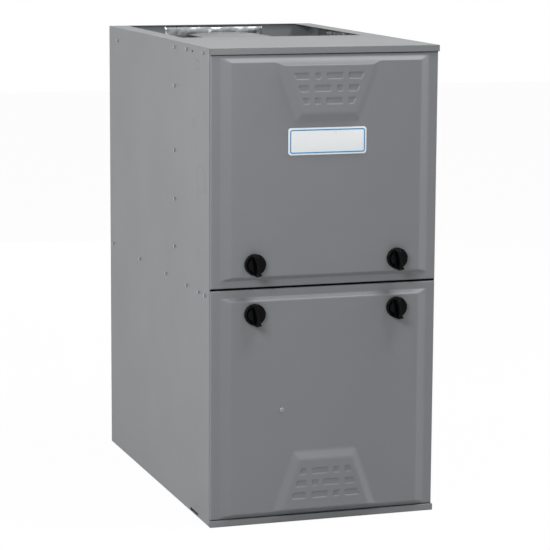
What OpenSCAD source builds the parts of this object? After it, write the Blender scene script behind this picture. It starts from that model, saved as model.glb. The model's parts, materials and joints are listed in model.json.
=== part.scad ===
// Forced air gas furnace, upflow, with two pressed doors in a folded steel casing.
// X runs to the right along the front, Y to the rear, Z up from the floor.

/* [Casing] */
// Width of the casing
casing_w = 444.5; // [435:0.5:620]
// Depth of the casing, from its front edges to its back
casing_d = 724; // [716:1:800]
// Height of the casing
casing_h = 889; // [880:1:960]
// Thickness of the casing and door steel
sheet_t = 1.2; // [0.8:0.1:2]
// Width of the folded edges that the doors close on
front_flange = 18; // [12:1:24]
// Width of the duct flange along each side of the supply opening
duct_side = 38; // [25:1:50]
// Width of the hem along the back of the supply opening
duct_back = 6; // [4:1:40]
// Depth of the top front plate
top_plate_d = 305; // [290:1:330]
// Height of the lips above and below the doors
lip_h = 12; // [8:1:20]
// How far the lips stand ahead of the casing's front edges
lip_proud = 8; // [6:0.5:12]
// Width of the bottom flange that carries the closure panel
base_flange = 30; // [20:1:50]

/* [Doors] */
// Height of the middle of the gap between the doors
split_z = 446.8; // [440:0.1:452]
// Width of the gap between the doors
split_gap = 4; // [3:0.5:10]
// Gap between a door's side and the casing's side
door_side_gap = 1.4; // [0.8:0.1:5]
// Gap between a door and its lip
door_lip_gap = 1; // [0.8:0.1:2]
// How far a door's flat rim stands ahead of the casing
door_stand = 5; // [4:0.5:7]
// Width of the flat rim along a door's sides
rim_side = 17.5; // [12:0.5:24]
// Width of the flat rim at a door's outer end
rim_outer = 5; // [4:0.5:10]
// Width of the flat rim where the doors meet
rim_inner = 14; // [8:0.5:18]
// Width of the bevel along a door's sides
bevel_side = 20; // [14:0.5:28]
// Height of the bevel at a door's ends
bevel_end = 7; // [5:0.5:12]
// How far the field rises above the rim
field_raise = 9; // [6:0.5:12]
// How far the trapezoid rises above the field
trap_raise = 9; // [6:0.5:12]
// Height of the trapezoid at its foot
trap_h = 113; // [100:1:140]
// Half the trapezoid's width at the door's outer end
trap_half_wide = 102; // [90:1:120]
// Half the trapezoid's width at its short end
trap_half_short = 65; // [56:1:80]
// Width of the bevel round the trapezoid
trap_bevel = 14; // [10:0.5:18]
// Height of a brick recess
brick_h = 12; // [8:0.5:14]
// Distance from one row of bricks to the next
brick_pitch = 23; // [20:0.5:26]
// Width of a short brick
brick_short = 12; // [8:0.5:16]
// Width of a long brick
brick_long = 32.5; // [26:0.5:36]
// Width of the rib between two bricks
brick_rib = 10.5; // [8:0.5:12]
// Depth of a brick recess
brick_depth = 2.5; // [1.5:0.1:4]

/* [Knobs and plates] */
// Distance of a latch knob from the casing's middle
knob_x = 139.5; // [120:0.5:150]
// Distance of a latch knob from the gap between the doors
knob_from_split = 46.4; // [42:0.2:60]
// Diameter of a knob's skirt
knob_d = 40; // [32:1:46]
// Height of a knob above the door
knob_h = 23; // [18:1:30]
// Width of the badge plate
badge_w = 152; // [120:1:180]
// Height of the badge plate
badge_h = 50; // [40:1:60]
// Gap between the badge plate and the trapezoid
badge_gap = 8; // [3:1:13]
// Diameter of the sight glass
sight_d = 8; // [5:0.5:12]
// Distance of the sight glass to the left of the middle
sight_x = 85; // [70:1:100]
// Height of the sight glass above the floor
sight_z = 217; // [200:1:240]

/* [Inner structure] */
// Depth of the blower shelf below the middle of the gap between the doors
shelf_drop = 9.8; // [4.8:0.1:12.8]
// Distance of the vestibule panel behind the casing's front
vest_y = 222; // [215:1:230]
// Width of the centre rail beyond the latch tongues
rail_edge = 6.6; // [4:0.2:12]
// Thickness of the insulation
liner_t = 8; // [5:0.5:12]

/* [Heat exchangers] */
// Distance from one cell to the next
cell_pitch = 90; // [70:1:95]
// Outer diameter of a cell's tube
tube_d = 40; // [30:1:44]
// Depth of a cell's top run below the top of the casing
cell_drop = 99; // [90:1:110]
// Height of a cell's last run above the secondary coil
cell_low = 51; // [46:1:60]
// Height of the finned secondary coil
coil_h = 100; // [80:1:110]
// Width of the secondary coil
coil_w = 380; // [340:1:400]
// Number of fins on the secondary coil
fin_count = 26; // [10:1:40]

/* [Blower] */
// Diameter of the blower wheel
wheel_d = 254; // [220:1:260]
// Length of the blower wheel
wheel_w = 203; // [160:1:215]
// Number of blades on the wheel
blade_count = 36; // [24:1:42]
// Distance of the wheel's axis in front of the casing's back
wheel_back = 274; // [244:1:294]
// Height of the wheel's axis above the floor
wheel_z = 215; // [210:1:222]
// Diameter of the blower's inlets
inlet_d = 208; // [180:1:212]
// Diameter of the blower motor
motor_d = 122; // [100:1:140]

/* [Inducer] */
// Distance of the inducer's axis to the left of the middle
inducer_x = 75; // [65:1:85]
// Height of the inducer's axis above the foot of the secondary coil
inducer_rise = 101; // [96:1:116]
// Diameter of the inducer's wheel
inducer_d = 112; // [90:1:118]

/* [Hidden] */

$fn = 48;

// Small clearances that every piece shares.
seat_gap = 0.3;
shaft_gap = 0.15;
// A cut runs this far past the face that it opens.
cut_over = 1;

// Door sizes that follow from the casing.
door_w = casing_w - 2 * door_side_gap;
lower_z0 = lip_h + door_lip_gap;
lower_h = split_z - split_gap / 2 - lower_z0;
upper_z1 = casing_h - lip_h - door_lip_gap;
upper_h = upper_z1 - split_z - split_gap / 2;
field_y = -(door_stand + field_raise);
trap_y = field_y - trap_raise;
knob_face_y = field_y - knob_h;

// The row of the frame: the overall box is centred on Y = 0.
front_y = -(casing_d + knob_face_y) / 2;

// Heights and depths that follow from the casing and the doors.
shelf_z = split_z - shelf_drop;
wheel_y = casing_d - wheel_back;

// Inner faces of the casing.
in_x = casing_w / 2 - sheet_t;
in_back = casing_d - sheet_t;
plate_z = casing_h - sheet_t;

// Colours.
c_casing = [0.56, 0.57, 0.58];
c_door = [0.49, 0.5, 0.51];
c_top = [0.66, 0.67, 0.68];
c_steel = [0.72, 0.73, 0.74];
c_foil = [0.82, 0.83, 0.84];
c_black = [0.06, 0.06, 0.07];
c_white = [0.94, 0.95, 0.95];
c_copper = [0.72, 0.45, 0.3];

// ---------------------------------------------------------------- helpers

// Places a piece that is drawn with Y = 0 on the casing's front edges.
module at_front() {
    translate([0, front_y, 0]) children();
}

// A box given by its two corners.
module span(a, b) {
    translate(a) cube(b - a);
}

// A cylinder along X, from x0 to x1.
module rod_x(x0, x1, y, z, r) {
    translate([x0, y, z]) rotate([0, 90, 0]) cylinder(h = x1 - x0, r = r);
}

// A cylinder along Y, from y0 to y1.
module rod_y(x, y0, y1, z, r) {
    translate([x, y0, z]) rotate([-90, 0, 0]) cylinder(h = y1 - y0, r = r);
}

// A cylinder along Z, from z0 to z1.
module rod_z(x, y, z0, z1, r) {
    translate([x, y, z0]) cylinder(h = z1 - z0, r = r);
}

// An outline in X and Z, extruded from y0 back to y1.
module slab_y(y0, y1) {
    translate([0, y1, 0]) rotate([90, 0, 0]) linear_extrude(height = y1 - y0) children();
}

// An outline in Y and Z, extruded from x0 to x1.
module slab_x(x0, x1) {
    translate([x0, 0, 0]) rotate([90, 0, 90]) linear_extrude(height = x1 - x0) children();
}

// A rectangle with round corners, centred.
module round_rect(w, h, r) {
    union() {
        square([w - 2 * r, h], center = true);
        square([w, h - 2 * r], center = true);
        for (sx = [-1, 1], sz = [-1, 1])
            translate([sx * (w / 2 - r), sz * (h / 2 - r)]) circle(r = r);
    }
}

// A ring of round bar, a share of a full turn, in the X Y plane.
module bend(radius, tube_r, angle) {
    rotate_extrude(angle = angle) translate([radius, 0]) circle(r = tube_r);
}

// Copies a child to the other side of the casing's middle.
module both_sides() {
    children();
    mirror([1, 0, 0]) children();
}

// ---------------------------------------------------------------- casing

// Side screws: one at the back edge, two at the front edge, a column into the vestibule's
// flange and a row into the shelf's flange. Each has its distance behind the front and its height.
screw_edge = 11;
rear_screw_in = 71;
rear_screw_drop = 26;
front_screw_y = [36, 143];
vest_screw_y = vest_y + 4;
vest_screw_drops = [12, 85, 208, 301, 393];
shelf_screw_y = [25, 66, 145, 288, 481, casing_d - 28];
shelf_screw_drop = 4;
side_screws = concat([[casing_d - rear_screw_in, casing_h - rear_screw_drop]],
    [for (y = front_screw_y) [y, casing_h - screw_edge]],
    [for (d = vest_screw_drops) [vest_screw_y, casing_h - d]],
    [for (y = shelf_screw_y) [y, shelf_z - shelf_screw_drop]]);
screw_head_r = 4.2;
screw_head_h = 3.2;
screw_flange_h = 0.8;
screw_hex_r = 3.2;
screw_hole_r = 1.8;
screw_play = 0.3;
screw_len = 9;

// Knockouts in the sides: distance behind the front edges, height, radius.
knockouts = [[50, 645, 26], [76, 855, 11], [99, 745, 9], [73, 610, 8], [71, 507, 9]];
knockout_groove = 1.2;
knockout_depth = 0.5;

// A slot near the top of each side, and a notch at its foot.
slot_y = 109;
slot_l = 10;
slot_h = 2.5;
notch_y = 70;
notch_l = 52;
notch_h = 5;

seat_lap = 8;

module side_wall() {
    difference() {
        union() {
            span([in_x, 0, 0], [in_x + sheet_t, top_plate_d, plate_z]);
            span([in_x, top_plate_d, 0], [in_x + sheet_t, casing_d, casing_h]);
        }
        for (s = side_screws)
            rod_x(in_x - cut_over, casing_w / 2 + cut_over, s[0], s[1], screw_hole_r);
        for (k = knockouts) translate([casing_w / 2 - knockout_depth, k[0], k[1]])
            rotate([0, 90, 0]) difference() {
                cylinder(h = knockout_depth + cut_over, r = k[2]);
                translate([0, 0, -cut_over])
                    cylinder(h = knockout_depth + 3 * cut_over, r = k[2] - knockout_groove);
            }
        span([in_x - cut_over, slot_y - slot_l / 2, casing_h - screw_edge - slot_h],
            [casing_w / 2 + cut_over, slot_y + slot_l / 2, casing_h - screw_edge]);
        span([in_x - cut_over, notch_y, notch_h / 2],
            [casing_w / 2 + cut_over, notch_y + notch_l, notch_h * 1.5]);
    }
}

module casing_wrap() {
    at_front() color(c_casing) {
        both_sides() {
            side_wall();
            // Front edge, folded inward behind the door.
            span([in_x - front_flange, 0, 0], [in_x, sheet_t, plate_z]);
            // Bottom edge, folded inward.
            span([in_x - base_flange, 0, 0], [in_x, in_back, sheet_t]);
            // Seat of the top front plate. It laps under the duct flange behind the plate.
            span([in_x - front_flange, 0, plate_z - sheet_t],
                [in_x, top_plate_d + seat_lap, plate_z]);
            // Duct flange along the supply opening.
            span([casing_w / 2 - duct_side, top_plate_d, plate_z],
                [in_x, in_back, casing_h]);
        }
        // Back sheet, its bottom edge and its hem.
        span([-in_x, in_back, 0], [in_x, casing_d, casing_h]);
        span([base_flange - in_x, in_back - base_flange, 0], [in_x - base_flange, in_back, sheet_t]);
        span([duct_side - casing_w / 2, casing_d - duct_back, plate_z],
            [casing_w / 2 - duct_side, in_back, casing_h]);
    }
}

// Hexagon head on a round flange, standing up from the origin.
module screw_head() {
    cylinder(h = screw_flange_h, r = screw_head_r);
    cylinder(h = screw_head_h, r = screw_hex_r, $fn = 6);
}

module casing_screws() {
    at_front() color(c_steel) both_sides() for (s = side_screws) {
        translate([casing_w / 2, s[0], s[1]]) rotate([0, 90, 0]) screw_head();
        rod_x(casing_w / 2 - screw_len, casing_w / 2, s[0], s[1], screw_hole_r - screw_play);
    }
}

plate_turn = 14;

module top_front_plate() {
    at_front() color(c_top) {
        span([-casing_w / 2, -lip_proud, plate_z], [casing_w / 2, top_plate_d, casing_h]);
        span([-casing_w / 2, -lip_proud, casing_h - lip_h],
            [casing_w / 2, -lip_proud + sheet_t, plate_z]);
        // The lip is hemmed back to the casing above the door.
        span([-casing_w / 2, -lip_proud + sheet_t, casing_h - lip_h],
            [casing_w / 2, 0, casing_h - lip_h + sheet_t]);
        // Rear edge, turned down into the supply opening.
        span([front_flange - in_x, top_plate_d - sheet_t, plate_z - plate_turn],
            [in_x - front_flange, top_plate_d, plate_z]);
    }
}

module base_sill() {
    at_front() color(c_door) {
        span([-casing_w / 2, -lip_proud, 0], [casing_w / 2, -lip_proud + sheet_t, lip_h]);
        span([-casing_w / 2, -lip_proud + sheet_t, lip_h - sheet_t], [casing_w / 2, 0, lip_h]);
        span([-casing_w / 2, -lip_proud + sheet_t, 0], [casing_w / 2, 0, sheet_t]);
        span([base_flange - in_x, 0, 0], [in_x - base_flange, base_flange, sheet_t]);
    }
}

// The closure panel's pan is flush with the floor and its edge lies on the flanges.
pan_gap = 0.5;
panel_lap = 20;

module bottom_closure_panel() {
    pan_x = in_x - base_flange - pan_gap;
    pan_y0 = base_flange + pan_gap;
    pan_y1 = in_back - base_flange - pan_gap;
    at_front() color(c_steel) difference() {
        union() {
            span([-pan_x, pan_y0, 0], [pan_x, pan_y1, sheet_t]);
            span([-pan_x - panel_lap, pan_y0 - panel_lap, sheet_t],
                [pan_x + panel_lap, pan_y1 + panel_lap, 2 * sheet_t]);
        }
        span([sheet_t - pan_x, pan_y0 + sheet_t, sheet_t],
            [pan_x - sheet_t, pan_y1 - sheet_t, 2 * sheet_t + cut_over]);
    }
}

// ---------------------------------------------------------------- centre rail and shelf

stud_r = 5;
stud_play = 1.2;
tongue_w = 8;
tongue_l = 26;
tongue_t = 3;
rail_y = sheet_t;
rail_half = knob_from_split + tongue_l / 2 + rail_edge;
rail_z0 = split_z - rail_half;
rail_z1 = split_z + rail_half;
rail_return = 16;
plunger_r = 3;
switch_x = 60;
switch_drop = 36;
switch_z = split_z - switch_drop;

module latch_slot(x, z) {
    rod_y(x, rail_y - cut_over, rail_y + sheet_t + cut_over, z, stud_r + stud_play);
    span([x - tongue_w / 2 - stud_play, rail_y - cut_over, z - tongue_l / 2 - stud_play],
        [x + tongue_w / 2 + stud_play, rail_y + sheet_t + cut_over,
            z + tongue_l / 2 + stud_play]);
}

module center_rail() {
    at_front() color(c_casing) difference() {
        union() {
            span([-in_x, rail_y, rail_z0], [in_x, rail_y + sheet_t, rail_z1]);
            for (z = [rail_z0, rail_z1 - sheet_t])
                span([-in_x, rail_y + sheet_t, z], [in_x, rail_y + rail_return, z + sheet_t]);
        }
        for (sx = [-1, 1], sz = [-1, 1])
            latch_slot(sx * knob_x, split_z + sz * knob_from_split);
        rod_y(switch_x, rail_y - cut_over, rail_y + sheet_t + cut_over, switch_z,
            plunger_r + stud_play);
    }
}

// Outline of a scroll in its own plane. Its radius grows evenly from r0 at the cut-off to r1,
// and the exit rises on the side of the largest radius.
cut_off = 70;
function scroll_r(a, r0, r1) = r0 + (r1 - r0) * (a - cut_off) / (360 - cut_off);
function scroll_exit(r0, r1) = r0 * cos(cut_off);
function scroll_pts(r0, r1, top, skin) = concat([for (a = [cut_off:10:360])
        let (r = scroll_r(a, r0, r1) - skin) [r * cos(a), r * sin(a)]],
    [[r1 - skin, top], [scroll_exit(r0, r1) + skin, top]]);

wheel_r = wheel_d / 2;
scroll_gap = 12;
scroll_growth = 62;
scroll_side = 16;
scroll_r0 = wheel_r + scroll_gap;
scroll_r1 = scroll_r0 + scroll_growth;
scroll_half = wheel_w / 2 + scroll_side;
throat_y0 = wheel_y + scroll_exit(scroll_r0, scroll_r1);
throat_y1 = wheel_y + scroll_r1;
harness_in = 31;
harness_x = in_x - harness_in;
harness_y = 56;
harness_r = 6;
harness_play = 1;
shelf_turn = 14;
shelf_play = 2;

module blower_shelf() {
    at_front() color(c_steel) difference() {
        union() {
            span([-in_x, rail_y + sheet_t, shelf_z], [in_x, in_back, shelf_z + sheet_t]);
            // Side edges, turned down for the side screws.
            both_sides() span([in_x - sheet_t, rail_y + rail_return + shelf_play,
                shelf_z - shelf_turn], [in_x, in_back, shelf_z]);
        }
        span([sheet_t - scroll_half, throat_y0 + sheet_t, shelf_z - cut_over],
            [scroll_half - sheet_t, throat_y1 - sheet_t, shelf_z + sheet_t + cut_over]);
        rod_z(-harness_x, harness_y, shelf_z - cut_over, shelf_z + sheet_t + cut_over,
            harness_r + harness_play);
        both_sides() for (s = side_screws) if (s[1] < shelf_z)
            rod_x(in_x - 2 * sheet_t, in_x + cut_over, s[0], s[1], screw_hole_r);
    }
}

// ---------------------------------------------------------------- vestibule panel

// One node is drawn for each cell.
cell_count = 4;
cell_x0 = -cell_pitch * (cell_count - 1) / 2;
cell_top_z = casing_h - cell_drop;
tube_r = tube_d / 2;
tube_wall = 1.5;
coil_lift = 22;
coil_z0 = shelf_z + coil_lift;
coil_z1 = coil_z0 + coil_h;
collector_d = 30;
collector_y = vest_y - collector_d;
collector_below = 5;
collector_above = 8;
collector_z0 = coil_z0 - collector_below;
collector_z1 = coil_z1 + collector_above;
inducer_z = coil_z0 + inducer_rise;
vest_flange = 14;
vest_top = plate_z - sheet_t - seat_gap;
sensor_drop = 90;
sensor_z = cell_top_z - sensor_drop;
sensor_hole_r = 7;
window_side = 12;
window_edge = 10;
vest_screw_x = in_x - 14;
vest_screw_z0 = collector_z1 + 30;
vest_screw_z1 = vest_top - 20;
vest_screw_z = [vest_screw_z0, (vest_screw_z0 + vest_screw_z1) / 2, vest_screw_z1];

module cells() {
    for (i = [0:cell_count - 1]) translate([cell_x0 + i * cell_pitch, 0, 0]) children();
}

module vestibule_panel() {
    y0 = vest_y - cut_over;
    y1 = vest_y + sheet_t + cut_over;
    at_front() color(c_steel) difference() {
        union() {
            span([-in_x, vest_y, shelf_z + sheet_t], [in_x, vest_y + sheet_t, vest_top]);
            both_sides() span([in_x - sheet_t, vest_y + sheet_t, shelf_z + sheet_t],
                [in_x, vest_y + vest_flange, vest_top]);
        }
        cells() rod_y(0, y0, y1, cell_top_z, tube_r + seat_gap);
        rod_y(0, y0, y1, sensor_z, sensor_hole_r);
        span([window_side - coil_w / 2, y0, coil_z0 + window_edge],
            [coil_w / 2 - window_side, y1, coil_z1 - window_edge]);
        both_sides() for (z = vest_screw_z) rod_y(vest_screw_x, y0, y1, z, screw_hole_r);
        both_sides() for (s = side_screws) if (s[1] > shelf_z)
            rod_x(in_x - 2 * sheet_t, in_x + cut_over, s[0], s[1], screw_hole_r);
    }
}

module vestibule_screws() {
    at_front() color(c_steel) both_sides() for (z = vest_screw_z) {
        translate([vest_screw_x, vest_y, z]) rotate([90, 0, 0]) screw_head();
        rod_y(vest_screw_x, vest_y, vest_y + screw_len, z, screw_hole_r - screw_play);
    }
}

// ---------------------------------------------------------------- doors

// A door is drawn with its outer end at Z = 0 and the end where the doors meet at Z = h.
trap_far = rim_outer + bevel_end + 1;
trap_foot = 4;
trap_crown = 1.5;
facet_t = 0.1;
brick_inset = 20;
brick_margin = 13;
brick_z0 = trap_far + brick_inset;
brick_core = brick_long + brick_rib + brick_short;

// Half the trapezoid's width at a distance from the door's outer end.
function trap_half(z) = trap_half_wide
    - (trap_half_wide - trap_half_short) * (z - trap_far) / trap_h;
function brick_edge(z) = trap_half(z) - trap_bevel - brick_margin;

module door_form(h, skin) {
    x_out = door_w / 2 - rim_side;
    x_in = x_out - bevel_side;
    z_far = rim_outer + bevel_end;
    z_near = h - rim_inner;
    span([skin - door_w / 2, skin - door_stand, skin],
        [door_w / 2 - skin, skin > 0 ? cut_over : -seat_gap, h - skin]);
    hull() {
        span([-x_out, skin - door_stand, rim_outer], [x_out, skin - door_stand + seat_gap, z_near]);
        span([-x_in, skin + field_y, z_far], [x_in, skin + field_y + facet_t, z_near - bevel_end]);
    }
    hull() {
        slab_y(skin + field_y - facet_t / 10, skin + field_y + seat_gap) polygon([
            [-trap_half_wide, trap_far], [trap_half_wide, trap_far],
            [trap_half_short, trap_far + trap_h], [-trap_half_short, trap_far + trap_h]]);
        slab_y(skin + trap_y, skin + trap_y + facet_t) polygon([
            [trap_bevel - trap_half_wide, trap_far + trap_foot],
            [trap_half_wide - trap_bevel, trap_far + trap_foot],
            [trap_half_short - trap_bevel + trap_crown, trap_far + trap_h - trap_bevel],
            [trap_bevel - trap_crown - trap_half_short, trap_far + trap_h - trap_bevel]]);
    }
}

// The three rows of recesses. The middle row has its long brick on the right.
module bricks(grow) {
    for (row = [0:2]) {
        z0 = brick_z0 + row * brick_pitch - grow;
        z1 = z0 + brick_h + 2 * grow;
        left_w = row == 1 ? brick_short : brick_long;
        x_mid = left_w - brick_core / 2;
        translate([-brick_core / 2 - grow, z0]) square([left_w + 2 * grow, z1 - z0]);
        translate([x_mid + brick_rib - grow, z0])
            square([brick_core - left_w - brick_rib + 2 * grow, z1 - z0]);
        for (sx = [-1, 1]) scale([sx, 1]) polygon([
            [brick_core / 2 + brick_rib - grow, z0], [brick_edge(z0) + grow, z0],
            [brick_edge(z1) + grow, z1], [brick_core / 2 + brick_rib - grow, z1]]);
    }
}

module door_skin(h) {
    difference() {
        door_form(h, 0);
        difference() {
            door_form(h, sheet_t);
            slab_y(trap_y - cut_over, trap_y + brick_depth + sheet_t) bricks(sheet_t);
        }
        slab_y(trap_y - cut_over, trap_y + brick_depth) bricks(0);
    }
}

knob_z_upper = split_z + knob_from_split;
knob_z_lower = split_z - knob_from_split;
sight_rim = 1;
sight_stem_r = sight_d / 2 - sight_rim;

module knob_holes(z) {
    both_sides() rod_y(knob_x, field_y - cut_over, field_y + sheet_t + cut_over, z,
        stud_r + seat_gap);
}

module upper_door() {
    at_front() color(c_door) difference() {
        translate([0, 0, upper_z1]) rotate([0, 180, 0]) door_skin(upper_h);
        knob_holes(knob_z_upper);
    }
}

module lower_door() {
    at_front() color(c_door) difference() {
        translate([0, 0, lower_z0]) door_skin(lower_h);
        knob_holes(knob_z_lower);
        rod_y(-sight_x, field_y - cut_over, field_y + sheet_t + cut_over, sight_z,
            sight_stem_r + seat_gap);
    }
}

// Insulation glued to the inside of the blower door's field.
pad_t = 6;
pad_side = 8;
pad_below = 57;
pad_above = 30;

module door_pad() {
    x_pad = door_w / 2 - rim_side - bevel_side - pad_side;
    at_front() color(c_foil) difference() {
        span([-x_pad, field_y + sheet_t, sight_z - pad_below],
            [x_pad, field_y + sheet_t + pad_t, knob_z_lower - pad_above]);
        rod_y(-sight_x, field_y, field_y + sheet_t + pad_t + cut_over, sight_z, sight_d);
    }
}

badge_t = 1.6;
badge_corner = 5;
badge_z = upper_z1 - trap_far - trap_h - badge_gap - badge_h / 2;

module badge_plate() {
    at_front() color(c_white) translate([0, 0, badge_z]) slab_y(field_y - badge_t, field_y)
        round_rect(badge_w, badge_h, badge_corner);
}

sight_proud = 1.2;
sight_past = 2;

module sight_glass() {
    at_front() color(c_steel) {
        rod_y(-sight_x, field_y - sight_proud, field_y, sight_z, sight_d / 2);
        rod_y(-sight_x, field_y, field_y + sheet_t + sight_past, sight_z, sight_stem_r);
    }
}

// A latch knob: round skirt, waisted grip, stud through the door and a tongue behind the rail.
grip_lean = 10;
grip_l = 45;
grip_w = 15;
grip_waist = 9;
grip_corner = 5;
grip_low = 1.5;
grip_root = 2;
waist_r = 30;
skirt_h = 7;
skirt_edge = 3.85;
skirt_bevel = 2.5;
skirt_slope = 4.5;
skirt_rise = 1.5;
tongue_gap = 0.8;

module knob_grip_outline() {
    difference() {
        round_rect(grip_w, grip_l, grip_corner);
        for (sx = [-1, 1]) translate([sx * (grip_waist / 2 + waist_r), 0]) circle(r = waist_r);
    }
}

module latch_knob(x, z) {
    back_y = field_y - seat_gap;
    r = knob_d / 2;
    tongue_y = rail_y + sheet_t + tongue_gap;
    at_front() color(c_black) {
        translate([x, back_y, z]) rotate([90, 0, 0]) rotate_extrude() polygon([[0, 0], [r, 0],
            [r, skirt_edge], [r - skirt_bevel, skirt_h],
            [r - skirt_bevel - skirt_slope, skirt_h + skirt_rise], [0, skirt_h + skirt_rise]]);
        translate([x, 0, z]) rotate([0, -grip_lean, 0]) translate([0, 0, -grip_low])
            slab_y(knob_face_y, back_y - grip_root) knob_grip_outline();
        rod_y(x, back_y, tongue_y + tongue_t, z, stud_r);
        span([x - tongue_w / 2, tongue_y, z - tongue_l / 2],
            [x + tongue_w / 2, tongue_y + tongue_t, z + tongue_l / 2]);
    }
}

module knob_upper_left() {
    latch_knob(-knob_x, knob_z_upper);
}

module knob_upper_right() {
    latch_knob(knob_x, knob_z_upper);
}

module knob_lower_left() {
    latch_knob(-knob_x, knob_z_lower);
}

module knob_lower_right() {
    latch_knob(knob_x, knob_z_lower);
}

// ---------------------------------------------------------------- heat exchangers

cell_back_gap = 84;
cell_front_gap = 78;
cell_back_y = casing_d - cell_back_gap;
cell_front_y = vest_y + cell_front_gap;
run_pitch = (cell_top_z - coil_z1 - cell_low) / 2;
cell_end_z = cell_top_z - 2 * run_pitch;
collar_w = 4;
collar_t = 1.5;

// Three runs and two return bends, from the vestibule to the coupling box.
module cell_path(r, over) {
    bend_r = run_pitch / 2;
    rod_y(0, vest_y - over, cell_back_y, cell_top_z, r);
    translate([0, cell_back_y, cell_top_z - bend_r]) rotate([0, 90, 0]) bend(bend_r, r, 180);
    rod_y(0, cell_front_y, cell_back_y, cell_top_z - run_pitch, r);
    translate([0, cell_front_y, cell_end_z + bend_r]) rotate([0, 90, 0]) rotate([0, 0, 180])
        bend(bend_r, r, 180);
    rod_y(0, cell_front_y, cell_back_y + over, cell_end_z, r);
}

module heat_cell(i) {
    at_front() color(c_steel) translate([cell_x0 + i * cell_pitch, 0, 0]) difference() {
        union() {
            cell_path(tube_r, 0);
            // Flared collar on the front of the vestibule.
            rod_y(0, vest_y - collar_t, vest_y, cell_top_z, tube_r + collar_w);
        }
        cell_path(tube_r - tube_wall, collar_t + cut_over);
    }
}

module heat_cell_1() {
    heat_cell(0);
}

module heat_cell_2() {
    heat_cell(1);
}

module heat_cell_3() {
    heat_cell(2);
}

module heat_cell_4() {
    heat_cell(3);
}

coupling_d = 65;
coupling_wall = 2;
coupling_foot = 5;
coupling_head = 10;
coupling_z0 = coil_z0 - coupling_foot;
coupling_z1 = cell_end_z + tube_r + coupling_head;
coupling_y1 = cell_back_y + coupling_d;
bead_t = 2;
bead_w = 8;
bead_back = 26;

// The cells and the coil both open into this box.
module coupling_box() {
    x = coil_w / 2;
    w = coupling_wall;
    front = cell_back_y - cut_over;
    bead_y = cell_back_y + bead_back;
    at_front() color(c_steel) {
        difference() {
            span([-x, cell_back_y, coupling_z0], [x, coupling_y1, coupling_z1]);
            span([w - x, cell_back_y + w, coupling_z0 + w], [x - w, coupling_y1 - w, coupling_z1 - w]);
            cells() rod_y(0, front, cell_back_y + w + cut_over, cell_end_z, tube_r - tube_wall);
            span([window_side - x, front, coil_z0 + window_edge],
                [x - window_side, cell_back_y + w + cut_over, coil_z1 - window_edge]);
        }
        // Bead pressed round the box.
        difference() {
            span([-x - bead_t, bead_y, coupling_z0 - bead_t],
                [x + bead_t, bead_y + bead_w, coupling_z1 + bead_t]);
            span([-x, bead_y - cut_over, coupling_z0],
                [x, bead_y + bead_w + cut_over, coupling_z1]);
        }
    }
}

coil_y0 = vest_y + sheet_t;
coil_y1 = cell_back_y;
coil_rows = 3;
coil_cols = 8;
coil_tube_r = 6;
coil_tube_wall = 1;
header_t = 3;
fin_t = 0.8;
fin_end = 20;
fin_side = 6;
fin_edge = 4;

module coil_tubes(r, over) {
    col_step = coil_w / (coil_cols + 0.5);
    for (i = [0:coil_rows - 1], c = [0:coil_cols - 1])
        rod_y(col_step * (c - (coil_cols - 1) / 2), coil_y0 - over, coil_y1 + over,
            coil_z0 + coil_h * (i + 0.5) / coil_rows, r);
}

// Tubes from the front header to the rear header, with flat fins across them.
module secondary_coil() {
    fin_step = (coil_y1 - coil_y0 - 2 * fin_end) / (fin_count - 1);
    at_front() color(c_steel) difference() {
        union() {
            for (y = [coil_y0, coil_y1 - header_t])
                span([-coil_w / 2, y, coil_z0], [coil_w / 2, y + header_t, coil_z1]);
            for (i = [0:fin_count - 1]) {
                y = coil_y0 + fin_end + i * fin_step;
                span([fin_side - coil_w / 2, y, coil_z0 + fin_edge],
                    [coil_w / 2 - fin_side, y + fin_t, coil_z1 - fin_edge]);
            }
            coil_tubes(coil_tube_r, 0);
        }
        coil_tubes(coil_tube_r - coil_tube_wall, cut_over);
    }
}

rail_t = 1.5;
rail_foot = 24;
rail_ledge = 12;

// Folded channels on the shelf. Each has a foot, a side and a ledge under the headers.
module coil_rails() {
    x = coil_w / 2;
    z0 = shelf_z + sheet_t;
    at_front() color(c_steel) both_sides() {
        span([x - rail_foot, coil_y0, z0], [x, coil_y1, z0 + rail_t]);
        span([x - rail_t, coil_y0, z0], [x, coil_y1, coil_z0]);
        span([x - rail_ledge, coil_y0, coil_z0 - rail_t], [x, coil_y1, coil_z0]);
    }
}

collector_wall = 3;
collector_in = 4;
collector_rim = 8;
collector_rim_t = 4;
collector_rib_in = 16;
collector_rib_t = 3;
collector_rib_d = 4;
ind_inlet_r = 30;

module collector_box() {
    x = coil_w / 2 - collector_in;
    w = collector_wall;
    rib_x = x - collector_rib_in;
    at_front() color(c_black) {
        difference() {
            span([-x, collector_y, collector_z0], [x, vest_y, collector_z1]);
            span([w - x, collector_y + w, collector_z0 + w],
                [x - w, vest_y + cut_over, collector_z1 - w]);
            rod_y(-inducer_x, collector_y - cut_over, collector_y + w + cut_over, inducer_z,
                ind_inlet_r);
        }
        // Rim that is screwed to the vestibule.
        difference() {
            span([-x - collector_rim, vest_y - collector_rim_t, collector_z0 - collector_rim],
                [x + collector_rim, vest_y, collector_z1 + collector_rim]);
            span([-x, vest_y - collector_rim_t - cut_over, collector_z0],
                [x, vest_y + cut_over, collector_z1]);
        }
        both_sides() span([rib_x, collector_y - collector_rib_d, collector_z0 + collector_rib_d],
            [rib_x + collector_rib_t, collector_y, collector_z1 - collector_rib_d]);
    }
}

// ---------------------------------------------------------------- inducer

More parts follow.
